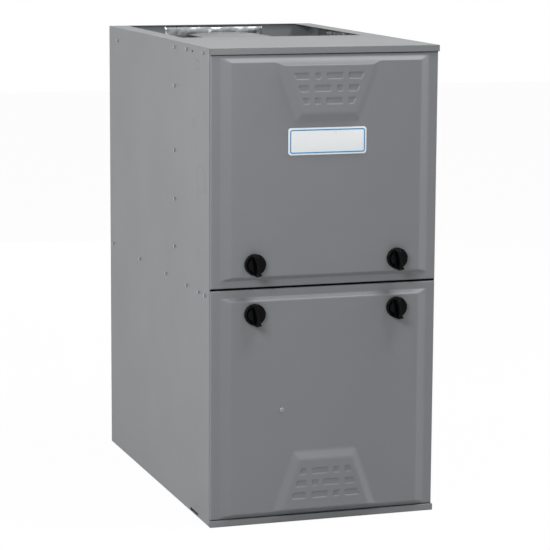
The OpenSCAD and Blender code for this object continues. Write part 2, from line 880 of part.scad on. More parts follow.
ind_gap = 8;
ind_growth = 24;
ind_d = 58;
ind_top = 84;
ind_skin = 2;
ind_shaft_r = 4;
ind_r0 = inducer_d / 2 + ind_gap;
ind_r1 = ind_r0 + ind_growth;
ind_y0 = collector_y - ind_d;
ind_y1 = collector_y;
ind_mid_y = (ind_y0 + ind_y1) / 2;
spigot_x = -inducer_x - (ind_r1 + scroll_exit(ind_r0, ind_r1)) / 2;
spigot_r = 25;
spigot_wall = 2;
spigot_l = 16;
spigot_z = inducer_z + ind_top;

module inducer_outline(skin, top) {
    translate([-inducer_x, inducer_z]) mirror([1, 0])
        polygon(scroll_pts(ind_r0, ind_r1, top, skin));
}

module inducer_housing() {
    at_front() color(c_black) {
        difference() {
            slab_y(ind_y0, ind_y1) inducer_outline(0, ind_top);
            slab_y(ind_y0 + ind_skin, ind_y1 - ind_skin)
                inducer_outline(ind_skin, ind_top - ind_skin);
            rod_y(-inducer_x, ind_y0 - cut_over, ind_y0 + ind_skin + cut_over, inducer_z,
                ind_shaft_r + shaft_gap);
            rod_y(-inducer_x, ind_y1 - ind_skin - cut_over, ind_y1 + cut_over, inducer_z,
                ind_inlet_r);
            rod_z(spigot_x, ind_mid_y, spigot_z - ind_skin - cut_over, spigot_z + cut_over,
                spigot_r - spigot_wall);
        }
        translate([spigot_x, ind_mid_y, spigot_z]) difference() {
            cylinder(h = spigot_l, r = spigot_r);
            translate([0, 0, -cut_over])
                cylinder(h = spigot_l + 2 * cut_over, r = spigot_r - spigot_wall);
        }
    }
}

ind_blades = 12;
ind_play = 4;
ind_disc_t = 2;
ind_hub_r = 10;
ind_hub_l = 16;
ind_blade_r = 42;
ind_blade_t = 1.6;
ind_blade_off = 30;
ind_blade_in = 16;
ind_blade_half = 12;
ind_shaft_end = 6;
ind_shaft_out = 3;

// Backward-curved blades on a disc, on the motor's shaft.
module inducer_wheel() {
    y0 = ind_y0 + ind_skin + ind_play;
    y1 = ind_y1 - ind_skin - ind_play;
    at_front() color(c_steel) translate([-inducer_x, 0, inducer_z]) {
        rod_y(0, y0, y0 + ind_disc_t, 0, inducer_d / 2);
        rod_y(0, ind_y0 - ind_shaft_out, y1 - ind_shaft_end, 0, ind_shaft_r);
        rod_y(0, y0, y0 + ind_hub_l, 0, ind_hub_r);
        for (k = [0:ind_blades - 1]) rotate([0, 360 * k / ind_blades, 0])
            slab_y(y0 + ind_disc_t / 2, y1) intersection() {
                translate([ind_blade_off, ind_blade_off]) difference() {
                    circle(r = ind_blade_r);
                    circle(r = ind_blade_r - ind_blade_t);
                }
                translate([ind_blade_in, -ind_blade_half])
                    square([inducer_d / 2 - ind_blade_in - 1, 2 * ind_blade_half]);
            }
    }
}

ind_motor_r = 40;
ind_motor_l = 52;
ind_motor_off = 14;
ind_cap_r = 26;
ind_cap_l = 6;
ind_neck_r = 30;
ind_foot_r = 5;
ind_foot_at = 34;
ind_foot_l = 20;

module inducer_motor() {
    y1 = ind_y0;
    y_can = y1 - ind_motor_off - ind_motor_l;
    at_front() color(c_black) translate([-inducer_x, 0, inducer_z]) difference() {
        union() {
            rod_y(0, y_can, y1 - ind_motor_off, 0, ind_motor_r);
            rod_y(0, y_can - ind_cap_l, y_can, 0, ind_cap_r);
            rod_y(0, y1 - ind_motor_off, y1 - ind_motor_off + ind_cap_l, 0, ind_neck_r);
            // Three feet on the housing.
            for (a = [90, 210, 330]) rotate([0, a, 0]) translate([ind_foot_at, 0, 0])
                rod_y(0, y1 - ind_foot_l, y1, 0, ind_foot_r);
        }
        rod_y(0, y_can + ind_cap_l, y1 + cut_over, 0, ind_shaft_r + shaft_gap);
    }
}

elbow_wall = 4;
elbow_bend_r = 44;
elbow_rise = 24;
elbow_mouth_l = 34;
elbow_rim_l = 12;
elbow_rim_t = 2.5;
elbow_gap = 1;
elbow_y0 = ind_mid_y - elbow_bend_r - elbow_mouth_l;

// The elbow's bore takes the housing's spigot below and a vent pipe at its mouth.
module vent_elbow() {
    bore = spigot_r + seat_gap;
    r = bore + elbow_wall;
    y1 = ind_mid_y - elbow_bend_r;
    z0 = spigot_z + elbow_gap;
    z1 = z0 + elbow_rise;
    at_front() color(c_black) difference() {
        union() {
            rod_z(spigot_x, ind_mid_y, z0, z1, r);
            translate([spigot_x, y1, z1]) rotate([90, 0, 90]) bend(elbow_bend_r, r, 90);
            rod_y(spigot_x, elbow_y0, y1, z1 + elbow_bend_r, r);
            rod_y(spigot_x, elbow_y0, elbow_y0 + elbow_rim_l, z1 + elbow_bend_r,
                r + elbow_rim_t);
        }
        rod_z(spigot_x, ind_mid_y, z0 - cut_over, z1, bore);
        translate([spigot_x, y1, z1]) rotate([90, 0, 90]) bend(elbow_bend_r, bore, 90);
        rod_y(spigot_x, elbow_y0 - cut_over, y1, z1 + elbow_bend_r, bore);
    }
}

// ---------------------------------------------------------------- burners and gas

box_side = 32;
bbox_d = 72;
bbox_half_h = 38;
bbox_half_w = cell_x0 - box_side;
bbox_y0 = vest_y - bbox_d;
bbox_y1 = vest_y - collar_t;
bbox_z0 = cell_top_z - bbox_half_h;
bbox_z1 = cell_top_z + bbox_half_h;
burner_reach = 104;
burner_stop = 8;
burner_y0 = vest_y - burner_reach;
burner_y1 = vest_y - burner_stop;
bell_r = 15;
bell_wall = 2.5;
burner_neck_r = 9.5;
burner_body_r = 12.7;
burner_head_r = 17;
burner_wall = 1.2;
probe_r = 2;
probe_in = 20;
probe_back = 26;
probe_y = vest_y - probe_back;
probe_up = 26;
rollout_y = vest_y - bbox_d / 2;
rollout_hole_r = 6;

module burner_box() {
    t = sheet_t;
    at_front() color(c_steel) difference() {
        span([bbox_half_w, bbox_y0, bbox_z0], [-bbox_half_w, bbox_y1, bbox_z1]);
        span([bbox_half_w + t, bbox_y0 + t, bbox_z0 + t],
            [-bbox_half_w - t, bbox_y1 - t, bbox_z1 - t]);
        cells() {
            rod_y(0, bbox_y0 - cut_over, bbox_y0 + t + cut_over, cell_top_z,
                burner_neck_r + seat_gap);
            rod_y(0, bbox_y1 - t - cut_over, bbox_y1 + cut_over, cell_top_z,
                tube_r - tube_wall);
        }
        both_sides() rod_z(cell_x0 - probe_in, probe_y, bbox_z0 - cut_over,
            bbox_z0 + t + cut_over, probe_r + sight_rim);
        rod_z(0, rollout_y, bbox_z1 - t - cut_over, bbox_z1 + cut_over, rollout_hole_r);
    }
}

// Venturi tubes, each with a bell at the orifice and a wide head at the cell.
module burners() {
    l = burner_y1 - burner_y0;
    neck = burner_neck_r;
    at_front() color(c_steel) cells() translate([0, burner_y0, cell_top_z])
        rotate([-90, 0, 0]) rotate_extrude() polygon([[bell_r - bell_wall, 0], [bell_r, 0],
            [bell_r - burner_wall, l * 0.04], [neck, l * 0.15], [neck, l * 0.36],
            [burner_body_r, l * 0.42], [burner_body_r, l * 0.5], [burner_head_r, l * 0.72],
            [burner_head_r, l], [burner_head_r - burner_wall, l],
            [burner_head_r - burner_wall, l * 0.74], [neck - burner_wall, l * 0.38],
            [neck - burner_wall, l * 0.15]]);
}

pipe_r = 11;
pipe_wall = 2.8;
pipe_end = 14;
spud_gap = 1;
spud_l = 18;
spud_r = 4;
spud_boss_r = 6;
spud_tip = 6;
orifice_r = 1.2;
spud_y = burner_y0 - spud_gap;
manifold_y = spud_y - spud_l;
bracket_w = 18;
bracket_t = 2;
bracket_h = 14;

valve_in = 116;
valve_w = 70;
valve_h = 72;
valve_drop = 46;
valve_front = 38;
valve_rear = 32;
valve_pipe_at = 35;
valve_x0 = in_x - valve_in;
valve_x1 = valve_x0 + valve_w;
valve_z1 = cell_top_z - valve_drop;
valve_y0 = manifold_y - valve_front;
valve_y1 = manifold_y + valve_rear;

module manifold_pipe(r, end) {
    x1 = valve_x0 + valve_pipe_at;
    rod_x(cell_x0 - end, x1 + r, manifold_y, cell_top_z, r);
    rod_z(x1, manifold_y, valve_z1 - (r < pipe_r ? cut_over : 0), cell_top_z, r);
}

// A pipe with a spud for each burner, and two brackets back to the burner box.
module gas_manifold() {
    bore = pipe_r - pipe_wall;
    bracket_x = -cell_x0 - cell_pitch / 2;
    bracket_z = cell_top_z + pipe_r;
    at_front() color(c_black) difference() {
        union() {
            manifold_pipe(pipe_r, pipe_end);
            cells() {
                rod_y(0, manifold_y, spud_y - spud_r, cell_top_z, spud_boss_r);
                rod_y(0, spud_y - spud_tip, spud_y + bracket_t, cell_top_z, spud_r);
            }
            both_sides() {
                span([bracket_x - bracket_w / 2, manifold_y, bracket_z - bracket_t],
                    [bracket_x + bracket_w / 2, bbox_y0, bracket_z]);
                span([bracket_x - bracket_w / 2, bbox_y0 - bracket_t, bracket_z],
                    [bracket_x + bracket_w / 2, bbox_y0, bracket_z + bracket_h]);
            }
        }
        manifold_pipe(bore, pipe_end - pipe_wall);
        cells() rod_y(0, manifold_y, spud_y + bracket_t + cut_over, cell_top_z, orifice_r);
    }
}

valve_knob_in = 22;
valve_knob_drop = 24;
valve_knob_x = valve_x0 + valve_knob_in;
valve_knob_z = valve_z1 - valve_knob_drop;
valve_stem_r = 4;
valve_stem_l = 12;
valve_port_drop = 48;
solenoid_r = 12;
solenoid_h = 14;
solenoid_in = 16;
regulator_r = 9;
inlet_boss_r = 15;
inlet_boss_l = 16;
inlet_hex_r = 17;
inlet_hex_l = 8;
inlet_bore_r = 10;

module gas_valve() {
    port_z = valve_z1 - valve_port_drop;
    x2 = valve_x1 + inlet_boss_l;
    at_front() color(c_steel) difference() {
        union() {
            span([valve_x0, valve_y0, valve_z1 - valve_h], [valve_x1, valve_y1, valve_z1]);
            // Solenoid cap, regulator tower and inlet boss.
            rod_z(valve_x1 - solenoid_in, valve_y0 + solenoid_h, valve_z1,
                valve_z1 + solenoid_h, solenoid_r);
            rod_y(valve_x1 - solenoid_in, valve_y0 - regulator_r, valve_y0, port_z, regulator_r);
            rod_x(valve_x1, x2, manifold_y, port_z, inlet_boss_r);
            translate([x2, manifold_y, port_z]) rotate([0, 90, 0])
                cylinder(h = inlet_hex_l, r = inlet_hex_r, $fn = 6);
        }
        rod_x(valve_x1, x2 + inlet_hex_l + cut_over, manifold_y, port_z, inlet_bore_r);
        rod_y(valve_knob_x, valve_y0 - cut_over, valve_y0 + valve_stem_l, valve_knob_z,
            valve_stem_r + shaft_gap);
    }
}

valve_knob_r = 13;
valve_knob_t = 8;
valve_grip_half = 3;

module gas_valve_switch() {
    y1 = valve_y0 - seat_gap;
    y0 = y1 - valve_knob_t;
    at_front() color([0.75, 0.1, 0.08]) {
        rod_y(valve_knob_x, y0, y1, valve_knob_z, valve_knob_r);
        span([valve_knob_x - valve_grip_half, y0 - valve_knob_t, valve_knob_z + 1 - valve_knob_r],
            [valve_knob_x + valve_grip_half, y0, valve_knob_z - 1 + valve_knob_r]);
        rod_y(valve_knob_x, y1 - 1, valve_y0 + valve_stem_l - 2, valve_knob_z, valve_stem_r);
    }
}

igniter_half_w = 9;
igniter_half_d = 7;
igniter_h = 22;
probe_root = 2;

module igniter() {
    x = probe_in - cell_x0;
    at_front() color(c_white) {
        span([x - igniter_half_w, probe_y - igniter_half_d, bbox_z0 - igniter_h],
            [x + igniter_half_w, probe_y + igniter_half_d, bbox_z0]);
        rod_z(x, probe_y, bbox_z0 - probe_root, bbox_z0 + probe_up, probe_r);
    }
}

flame_boss_r = 6;
flame_rod_r = 1.5;

module flame_sensor() {
    x = cell_x0 - probe_in;
    at_front() color(c_steel) {
        rod_z(x, probe_y, bbox_z0 - igniter_h, bbox_z0, flame_boss_r);
        rod_z(x, probe_y, bbox_z0 - probe_root, bbox_z0 + probe_up, flame_rod_r);
    }
}

rollout_flange_r = 16;
rollout_flange_t = 1.5;
rollout_body_r = 9;
rollout_body_h = 13;
rollout_pin_x = 12.5;
rollout_pin_w = 5;
rollout_pin_t = 1;
reset_r = 3;
reset_depth = 5;
reset_proud = 2;

module rollout_switch() {
    z = bbox_z1;
    at_front() color(c_black) difference() {
        union() {
            rod_z(0, rollout_y, z, z + rollout_flange_t, rollout_flange_r);
            rod_z(0, rollout_y, z, z + rollout_body_h, rollout_body_r);
            both_sides() span([rollout_pin_x - rollout_pin_w / 2, rollout_y - rollout_pin_t / 2,
                z + 1], [rollout_pin_x + rollout_pin_w / 2, rollout_y + rollout_pin_t / 2,
                z + rollout_body_h - 1]);
        }
        rod_z(0, rollout_y, z + rollout_body_h - reset_depth, z + rollout_body_h + cut_over,
            reset_r + shaft_gap);
    }
}

module rollout_reset_button() {
    at_front() color([0.8, 0.1, 0.1]) rod_z(0, rollout_y,
        bbox_z1 + rollout_body_h - reset_depth + seat_gap,
        bbox_z1 + rollout_body_h + reset_proud, reset_r);
}

limit_body_r = 10;
limit_body_l = 14;
limit_probe_r = 5;
limit_probe_l = 40;

module limit_switch() {
    at_front() color(c_black) {
        rod_y(0, vest_y - limit_body_l, vest_y, sensor_z, limit_body_r);
        rod_y(0, vest_y, vest_y + limit_probe_l, sensor_z, limit_probe_r);
    }
}

// ---------------------------------------------------------------- pressure switch, trap

ps_x = 70;
ps_rise = 75;
ps_z = collector_z1 + ps_rise;
ps_r = 27;
ps_d = 34;
ps_seam_r = 30;
ps_seam_t = 4;
ps_seam_back = 20;
ps_plate_t = 2;
ps_plate_half = 32;
ps_nipple_y = vest_y - 18;
ps_nipple_r = 3;
ps_nipple_z0 = ps_z - 38;
hose_wall = 2.2;
hose_lap = 8;

module pressure_switch() {
    at_front() color(c_black) {
        rod_y(ps_x, vest_y - ps_d, vest_y - ps_plate_t, ps_z, ps_r);
        rod_y(ps_x, vest_y - ps_seam_back, vest_y - ps_seam_back + ps_seam_t, ps_z, ps_seam_r);
        span([ps_x - ps_plate_half, vest_y - ps_plate_t, ps_z - ps_plate_half],
            [ps_x + ps_plate_half, vest_y, ps_z + ps_plate_half]);
        rod_z(ps_x, ps_nipple_y, ps_nipple_z0, ps_z - ps_r + ps_nipple_r, ps_nipple_r);
    }
}

module pressure_hose() {
    r = ps_nipple_r + seat_gap;
    at_front() color(c_black) difference() {
        rod_z(ps_x, ps_nipple_y, collector_z1, ps_nipple_z0 + hose_lap, r + hose_wall);
        rod_z(ps_x, ps_nipple_y, collector_z1 + 2, ps_nipple_z0 + hose_lap + cut_over, r);
    }
}

trap_x0 = 40;
trap_w = 56;
trap_d = 52;
trap_off = 8;
trap_box_h = 82;
trap_wall = 3;
trap_x1 = trap_x0 + trap_w;
trap_z0 = shelf_z + sheet_t;
trap_y1 = collector_y - trap_off;
neck_r = 9;
neck_z = trap_z0 + 60;
drain_z = trap_z0 + 40;
drain_y = trap_y1 - trap_d / 2;
drain_spout_r = 8;
drain_spout_l = 12;
drain_bore_r = 5.5;
drain_wall = 2.7;

module condensate_trap() {
    w = trap_wall;
    at_front() color(c_black) difference() {
        union() {
            span([trap_x0, trap_y1 - trap_d, trap_z0], [trap_x1, trap_y1, trap_z0 + trap_box_h]);
            rod_y(trap_x0 + trap_w / 2, trap_y1, collector_y, neck_z, neck_r);
            rod_x(trap_x1, trap_x1 + drain_spout_l, drain_y, drain_z, drain_spout_r);
        }
        span([trap_x0 + w, trap_y1 - trap_d + w, trap_z0 + w],
            [trap_x1 - w, trap_y1 - w, trap_z0 + trap_box_h - w]);
        rod_x(trap_x1 - w - cut_over, trap_x1 + drain_spout_l + cut_over, drain_y, drain_z,
            drain_bore_r);
    }
}

module drain_hose() {
    r = drain_spout_r + seat_gap;
    at_front() color(c_black) difference() {
        rod_x(trap_x1 + 1, in_x, drain_y, drain_z, r + drain_wall);
        rod_x(trap_x1, in_x + cut_over, drain_y, drain_z, r);
    }
}

// ---------------------------------------------------------------- electrical

junction_w = 62;
junction_y0 = 22;
junction_d = 54;
junction_h = 68;
junction_drop = 24;
junction_lap = 2;

module junction_box() {
    x0 = in_x - junction_w;
    z1 = casing_h - junction_drop;
    z0 = z1 - junction_h;
    at_front() color(c_steel) {
        difference() {
            span([x0, junction_y0, z0], [in_x, junction_y0 + junction_d, z1]);
            span([x0 + sheet_t, junction_y0 - cut_over, z0 + sheet_t],
                [in_x - sheet_t, junction_y0 + junction_d - sheet_t, z1 - sheet_t]);
        }
        // Cover, lapped over three sides.
        span([x0 - sheet_t, junction_y0 - sheet_t, z0 - junction_lap],
            [in_x, junction_y0, z1 + junction_lap]);
    }
}

panel_y = 70;
panel_z0 = 120;
panel_side = 36;
panel_w = 307;
panel_return = 18;
panel_x0 = panel_side - in_x;
panel_x1 = panel_x0 + panel_w;
board_standoff = 8;
board_t = 1.6;
board_in = 10;
board_w = 160;
board_z0 = panel_z0 + 25;
board_h = 130;
board_x0 = panel_x0 + board_in;
board_y = panel_y - board_standoff - board_t;
standoff_r = 4;

module control_panel() {
    t = sheet_t;
    at_front() color(c_steel) {
        span([panel_x0, panel_y, panel_z0], [panel_x1, panel_y + t, shelf_z]);
        for (x = [panel_x0, panel_x1 - t])
            span([x, panel_y + t, panel_z0], [x + t, panel_y + panel_return, shelf_z]);
        // Four standoffs under the board.
        for (x = [board_standoff, board_w - board_standoff], z = [board_standoff,
            board_h - board_standoff]) rod_y(board_x0 + x, panel_y - board_standoff, panel_y,
            board_z0 + z, standoff_r);
    }
}

relay_w = 22;
relay_d = 18;
relay_h = 26;
relay_step = 30;
part_edge = 7;
strip_w = 40;
strip_d = 12;
strip_h = 16;
can_r = 8;
can_l = 22;
can_step = 26;
fuse_w = 12;
fuse_d = 8;
fuse_h = 30;
lamp_r = 2.5;
lamp_l = 7;

module control_board() {
    z1 = board_z0 + board_h;
    at_front() {
        color([0.1, 0.35, 0.2]) span([board_x0, board_y, board_z0],
            [board_x0 + board_w, board_y + board_t, z1]);
        // Relays along the top, cans and a terminal strip along the foot, a connector and a lamp.
        color(c_black) for (k = [0:2])
            translate([board_x0 + part_edge + k * relay_step, board_y - relay_d,
                z1 - relay_h - part_edge]) cube([relay_w, relay_d, relay_h]);
        color(c_copper) translate([board_x0 + board_w - strip_w - part_edge, board_y - strip_d,
            board_z0 + part_edge]) cube([strip_w, strip_d, strip_h]);
        color(c_black) for (k = [0:1]) rod_y(board_x0 + can_step * (k + 1), board_y - can_l,
            board_y, board_z0 + can_step, can_r);
        color(c_white) translate([board_x0 + part_edge, board_y - fuse_d,
            z1 - 3 * relay_h]) cube([fuse_w, fuse_d, fuse_h]);
        color("red") rod_y(-sight_x, board_y - lamp_l, board_y, sight_z, lamp_r);
    }
}

trafo_x0 = panel_x0 + 177;
trafo_w = 54;
trafo_d = 40;
trafo_h = 56;
trafo_z0 = panel_z0 + 30;
coil_case_in = 10;
coil_case_d = 6;
trafo_ear = 12;
trafo_ear_t = 2;

module transformer() {
    y0 = panel_y - trafo_d;
    z1 = trafo_z0 + trafo_h;
    at_front() {
        color(c_steel) span([trafo_x0, y0, trafo_z0], [trafo_x0 + trafo_w, panel_y, z1]);
        color(c_copper) span([trafo_x0 + coil_case_in, y0 - coil_case_d,
            trafo_z0 + coil_case_in], [trafo_x0 + trafo_w - coil_case_in, y0,
            z1 - coil_case_in]);
        color(c_steel) for (z = [trafo_z0 - trafo_ear, z1]) span([trafo_x0,
            panel_y - trafo_ear_t, z], [trafo_x0 + trafo_w, panel_y, z + trafo_ear]);
    }
}

capacitor_x = panel_x0 + 273;
capacitor_r = 22;
capacitor_h = 90;
capacitor_strap = 2;
strap_up = 38;
strap_h = 12;
terminal_x = 8;
terminal_half = 2;
terminal_h = 8;

module capacitor() {
    r = capacitor_r;
    s = capacitor_strap;
    x = capacitor_x;
    y = panel_y - r - s;
    z1 = trafo_z0 + capacitor_h;
    strap_z = trafo_z0 + strap_up;
    at_front() color(c_steel) {
        rod_z(x, y, trafo_z0, z1, r);
        for (sx = [-1, 1]) span([x + sx * terminal_x - terminal_half, y - terminal_half, z1],
            [x + sx * terminal_x + terminal_half, y + terminal_half, z1 + terminal_h]);
        // Strap round the can.
        difference() {
            span([x - r - s, y - r - s, strap_z], [x + r + s, panel_y, strap_z + strap_h]);
            rod_z(x, y, strap_z - cut_over, strap_z + strap_h + cut_over, r);
        }
    }
}

harness_bend_r = 14;
harness_z0 = board_z0 + 95;
harness_top_gap = 30;
grommet_t = 3;
grommet_w = 4;

// The harness runs up from the board, through the shelf, and back to the vestibule.
module wire_harness() {
    r = harness_r;
    b = harness_bend_r;
    z1 = cell_top_z - harness_top_gap;
    at_front() color([0.2, 0.2, 0.22]) {
        rod_x(b - harness_x, board_x0, harness_y, harness_z0, r);
        translate([b - harness_x, harness_y, harness_z0 + b]) rotate([90, 0, 0])
            rotate([0, 0, 180]) bend(b, r, 90);
        rod_z(-harness_x, harness_y, harness_z0 + b, z1 - b, r);
        translate([-harness_x, harness_y + b, z1 - b]) rotate([0, -90, 0])
            rotate([0, 0, 270]) bend(b, r, 90);
        rod_y(-harness_x, harness_y + b, vest_y, z1, r);
        // Grommet in the shelf.
        difference() {
            rod_z(-harness_x, harness_y, shelf_z - grommet_t, shelf_z + sheet_t + grommet_t,
                r + grommet_w);
            difference() {
                rod_z(-harness_x, harness_y, shelf_z, shelf_z + sheet_t, r + 2 * grommet_w);
                rod_z(-harness_x, harness_y, shelf_z - cut_over,
                    shelf_z + sheet_t + cut_over, r);
            }
        }
    }
}

switch_half_w = 12;
switch_half_h = 9;
switch_d = 24;
switch_pin_x = 6;
switch_pin_half = 3;
switch_pin_t = 1;
switch_pin_l = 8;
switch_bore_l = 10;
plunger_travel = 2;

module door_switch() {
    y0 = rail_y + sheet_t;
    y1 = y0 + switch_d;
    at_front() color(c_black) difference() {
        union() {
            span([switch_x - switch_half_w, y0, switch_z - switch_half_h],
                [switch_x + switch_half_w, y1, switch_z + switch_half_h]);
            for (sx = [-1, 1]) span([switch_x + sx * switch_pin_x - switch_pin_t / 2, y1,
                switch_z - switch_pin_half], [switch_x + sx * switch_pin_x + switch_pin_t / 2,
                y1 + switch_pin_l, switch_z + switch_pin_half]);
        }
        rod_y(switch_x, y0 - cut_over, y0 + switch_bore_l, switch_z, plunger_r + shaft_gap);
    }
}

module door_switch_plunger() {
    at_front() color(c_white) rod_y(switch_x, field_y + sheet_t + seat_gap,
        rail_y + sheet_t + switch_bore_l - plunger_travel - seat_gap, switch_z, plunger_r);
}

// ---------------------------------------------------------------- blower

inlet_r = inlet_d / 2;
roll_r = 5;
shaft_r = 6.35;
throat_flange = 14;

module blower_outline(skin, top) {
    translate([wheel_y, wheel_z]) polygon(scroll_pts(scroll_r0, scroll_r1, top, skin));
}

module blower_housing() {
    t = sheet_t;
    top = shelf_z - wheel_z;
    at_front() color(c_steel) {
        difference() {
            slab_x(-scroll_half, scroll_half) blower_outline(0, top);
            slab_x(t - scroll_half, scroll_half - t) blower_outline(t, top + cut_over);
            rod_x(-scroll_half - cut_over, scroll_half + cut_over, wheel_y, wheel_z, inlet_r);
        }
        both_sides() {
            // Rolled lip round the inlet.
            translate([scroll_half - t / 2, wheel_y, wheel_z]) rotate([0, 90, 0])
                rotate_extrude() translate([inlet_r + roll_r, 0]) circle(r = roll_r);
            // Flange under the shelf.
            span([scroll_half, throat_y0, shelf_z - t],
                [scroll_half + throat_flange, throat_y1, shelf_z]);
        }
    }
}

blade_out = wheel_r - 1;
blade_d = 20;
blade_in = blade_out - blade_d;
blade_r = 14;
blade_t = 1.2;
blade_mid = 10;
blade_low = 11;
blade_from = 6;
blade_span = 14;
ring_l = 4;
ring_w = 15;
web_t = 2;
hub_x = 12;
hub_r = 16;
hub_l = 36;
hub_back = 10;
shaft_out = 34;
shaft_in = 110;

// A blade's outline: a short arc, cupped in the direction of turning.
module blade_outline() {
    intersection() {
        translate([blade_in + blade_mid, -blade_low]) difference() {
            circle(r = blade_r);
            circle(r = blade_r - blade_t);
        }
        translate([blade_in, -blade_from]) square([blade_d, blade_span]);
    }
}

// Forward-curved blades between two end rings, with a web plate and hub at the middle.
module blower_wheel() {
    half = wheel_w / 2;
    at_front() color(c_steel) translate([0, wheel_y, wheel_z]) {
        for (k = [0:blade_count - 1]) rotate([360 * k / blade_count, 0, 0])
            slab_x(1 - half, half - 1) blade_outline();
        for (x = [-half, half - ring_l]) slab_x(x, x + ring_l) difference() {
            circle(r = wheel_r);
            circle(r = wheel_r - ring_w);
        }
        slab_x(hub_x, hub_x + web_t) difference() {
            circle(r = wheel_r);
            circle(r = shaft_r - 1);
        }
        rod_x(hub_x - hub_back, hub_x - hub_back + hub_l, 0, 0, hub_r);
        rod_x(motor_x1 - shaft_in, hub_x + shaft_out, 0, 0, shaft_r);
    }
}

motor_r = motor_d / 2;
motor_l = 162;
motor_gap = 22;
motor_cap = 8;
motor_bell = 5;
motor_x1 = hub_x - motor_gap;
motor_x0 = motor_x1 - motor_l;

module blower_motor() {
    at_front() color(c_black) translate([0, wheel_y, wheel_z]) difference() {
        union() {
            rod_x(motor_x0, motor_x1 - motor_cap, 0, 0, motor_r);
            rod_x(motor_x1 - motor_cap, motor_x1, 0, 0, motor_r - motor_cap);
            rod_x(motor_x0 - motor_bell, motor_x0, 0, 0, motor_r - motor_cap);
        }
        rod_x(motor_x1 - shaft_in - hub_r / 2, motor_x1 + cut_over, 0, 0, shaft_r + shaft_gap);
    }
}

band_w = 26;
band_t = 2;
arm_half = 10;
arm_t = 3;
arm_out = 9;

module motor_mount() {
    x1 = -scroll_half - roll_r - 1;
    arm_r = inlet_r + 2 * roll_r + arm_out;
    at_front() color(c_steel) translate([0, wheel_y, wheel_z]) {
        // Band round the motor.
        difference() {
            rod_x(x1 - band_w, x1, 0, 0, motor_r + band_t);
            rod_x(x1 - band_w - cut_over, x1 + cut_over, 0, 0, motor_r);
        }
        // Three arms out to feet on the housing's side.
        for (a = [30, 150, 270]) rotate([a, 0, 0]) {
            span([x1 - arm_t, -arm_half, motor_r + band_t / 2], [x1, arm_half, arm_r]);
            span([x1 - arm_t, -arm_half, arm_r - arm_t], [-scroll_half, arm_half, arm_r]);
        }
    }
}

// ---------------------------------------------------------------- insulation and baffle

liner_end = 2;
liner_front = 15;
liner_rear = 60;
liner_left_gap = 119;
liner_right_gap = 108;
liner_z0 = shelf_z + sheet_t + liner_end;
liner_z1 = plate_z - liner_end;

module liner_back() {
    at_front() color(c_foil) span([liner_left_gap - in_x, in_back - liner_t, liner_z0],
        [in_x - liner_right_gap, in_back, liner_z1]);
}

module side_liner() {
    difference() {
        span([in_x - liner_t, top_plate_d + liner_front, liner_z0],
            [in_x, casing_d - liner_rear, liner_z1]);
        for (s = side_screws)
            rod_x(in_x - liner_t - cut_over, in_x + cut_over, s[0], s[1], screw_hole_r);
    }
}

module liner_left() {
    at_front() color(c_foil) mirror([1, 0, 0]) side_liner();
}

module liner_right() {
    at_front() color(c_foil) side_liner();
}

// An arched sheet over the middle cells, fixed to the face of the back liner.
baffle_x0 = -52;
baffle_x1 = 99;
baffle_r = 187;
baffle_t = 1.5;
baffle_drop = 2.3;
baffle_front_gap = 204;

module air_baffle() {
    x_mid = (baffle_x0 + baffle_x1) / 2;
    top_z = plate_z - baffle_drop;
    y0 = casing_d - baffle_front_gap;
    at_front() color(c_steel) slab_y(y0, in_back - liner_t) intersection() {
        translate([x_mid, top_z - baffle_r]) difference() {
            circle(r = baffle_r, $fn = 96);
            circle(r = baffle_r - baffle_t, $fn = 96);
        }
        translate([baffle_x0, top_z - baffle_r / 2])
            square([baffle_x1 - baffle_x0, baffle_r / 2]);
    }
}

casing_wrap();
top_front_plate();
base_sill();
bottom_closure_panel();
center_rail();
vestibule_panel();
blower_shelf();
casing_screws();
vestibule_screws();
upper_door();
lower_door();
door_pad();
badge_plate();
sight_glass();
knob_upper_left();
knob_upper_right();
knob_lower_left();
knob_lower_right();
heat_cell_1();
heat_cell_2();
heat_cell_3();
heat_cell_4();
coupling_box();
secondary_coil();
coil_rails();
collector_box();
inducer_housing();
inducer_wheel();
inducer_motor();
vent_elbow();
burner_box();
burners();
gas_manifold();
gas_valve();
gas_valve_switch();
igniter();
flame_sensor();
rollout_switch();
rollout_reset_button();
limit_switch();
pressure_switch();
pressure_hose();
condensate_trap();
drain_hose();
junction_box();
control_panel();
control_board();
transformer();
capacitor();
wire_harness();
door_switch();
door_switch_plunger();
blower_housing();
blower_wheel();
blower_motor();
motor_mount();
liner_back();
liner_left();
liner_right();
air_baffle();
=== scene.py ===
"""Looks of a forced air gas furnace, dressed over its packed construction.

Lengths are written in millimetres and turned to metres where a mesh is made. The row frame has
+X to the right along the front, +Y to the rear and +Z up, with its origin on the floor.
"""

import json
import logging
import math
from dataclasses import dataclass, field
from enum import Enum
from typing import Optional, Sequence

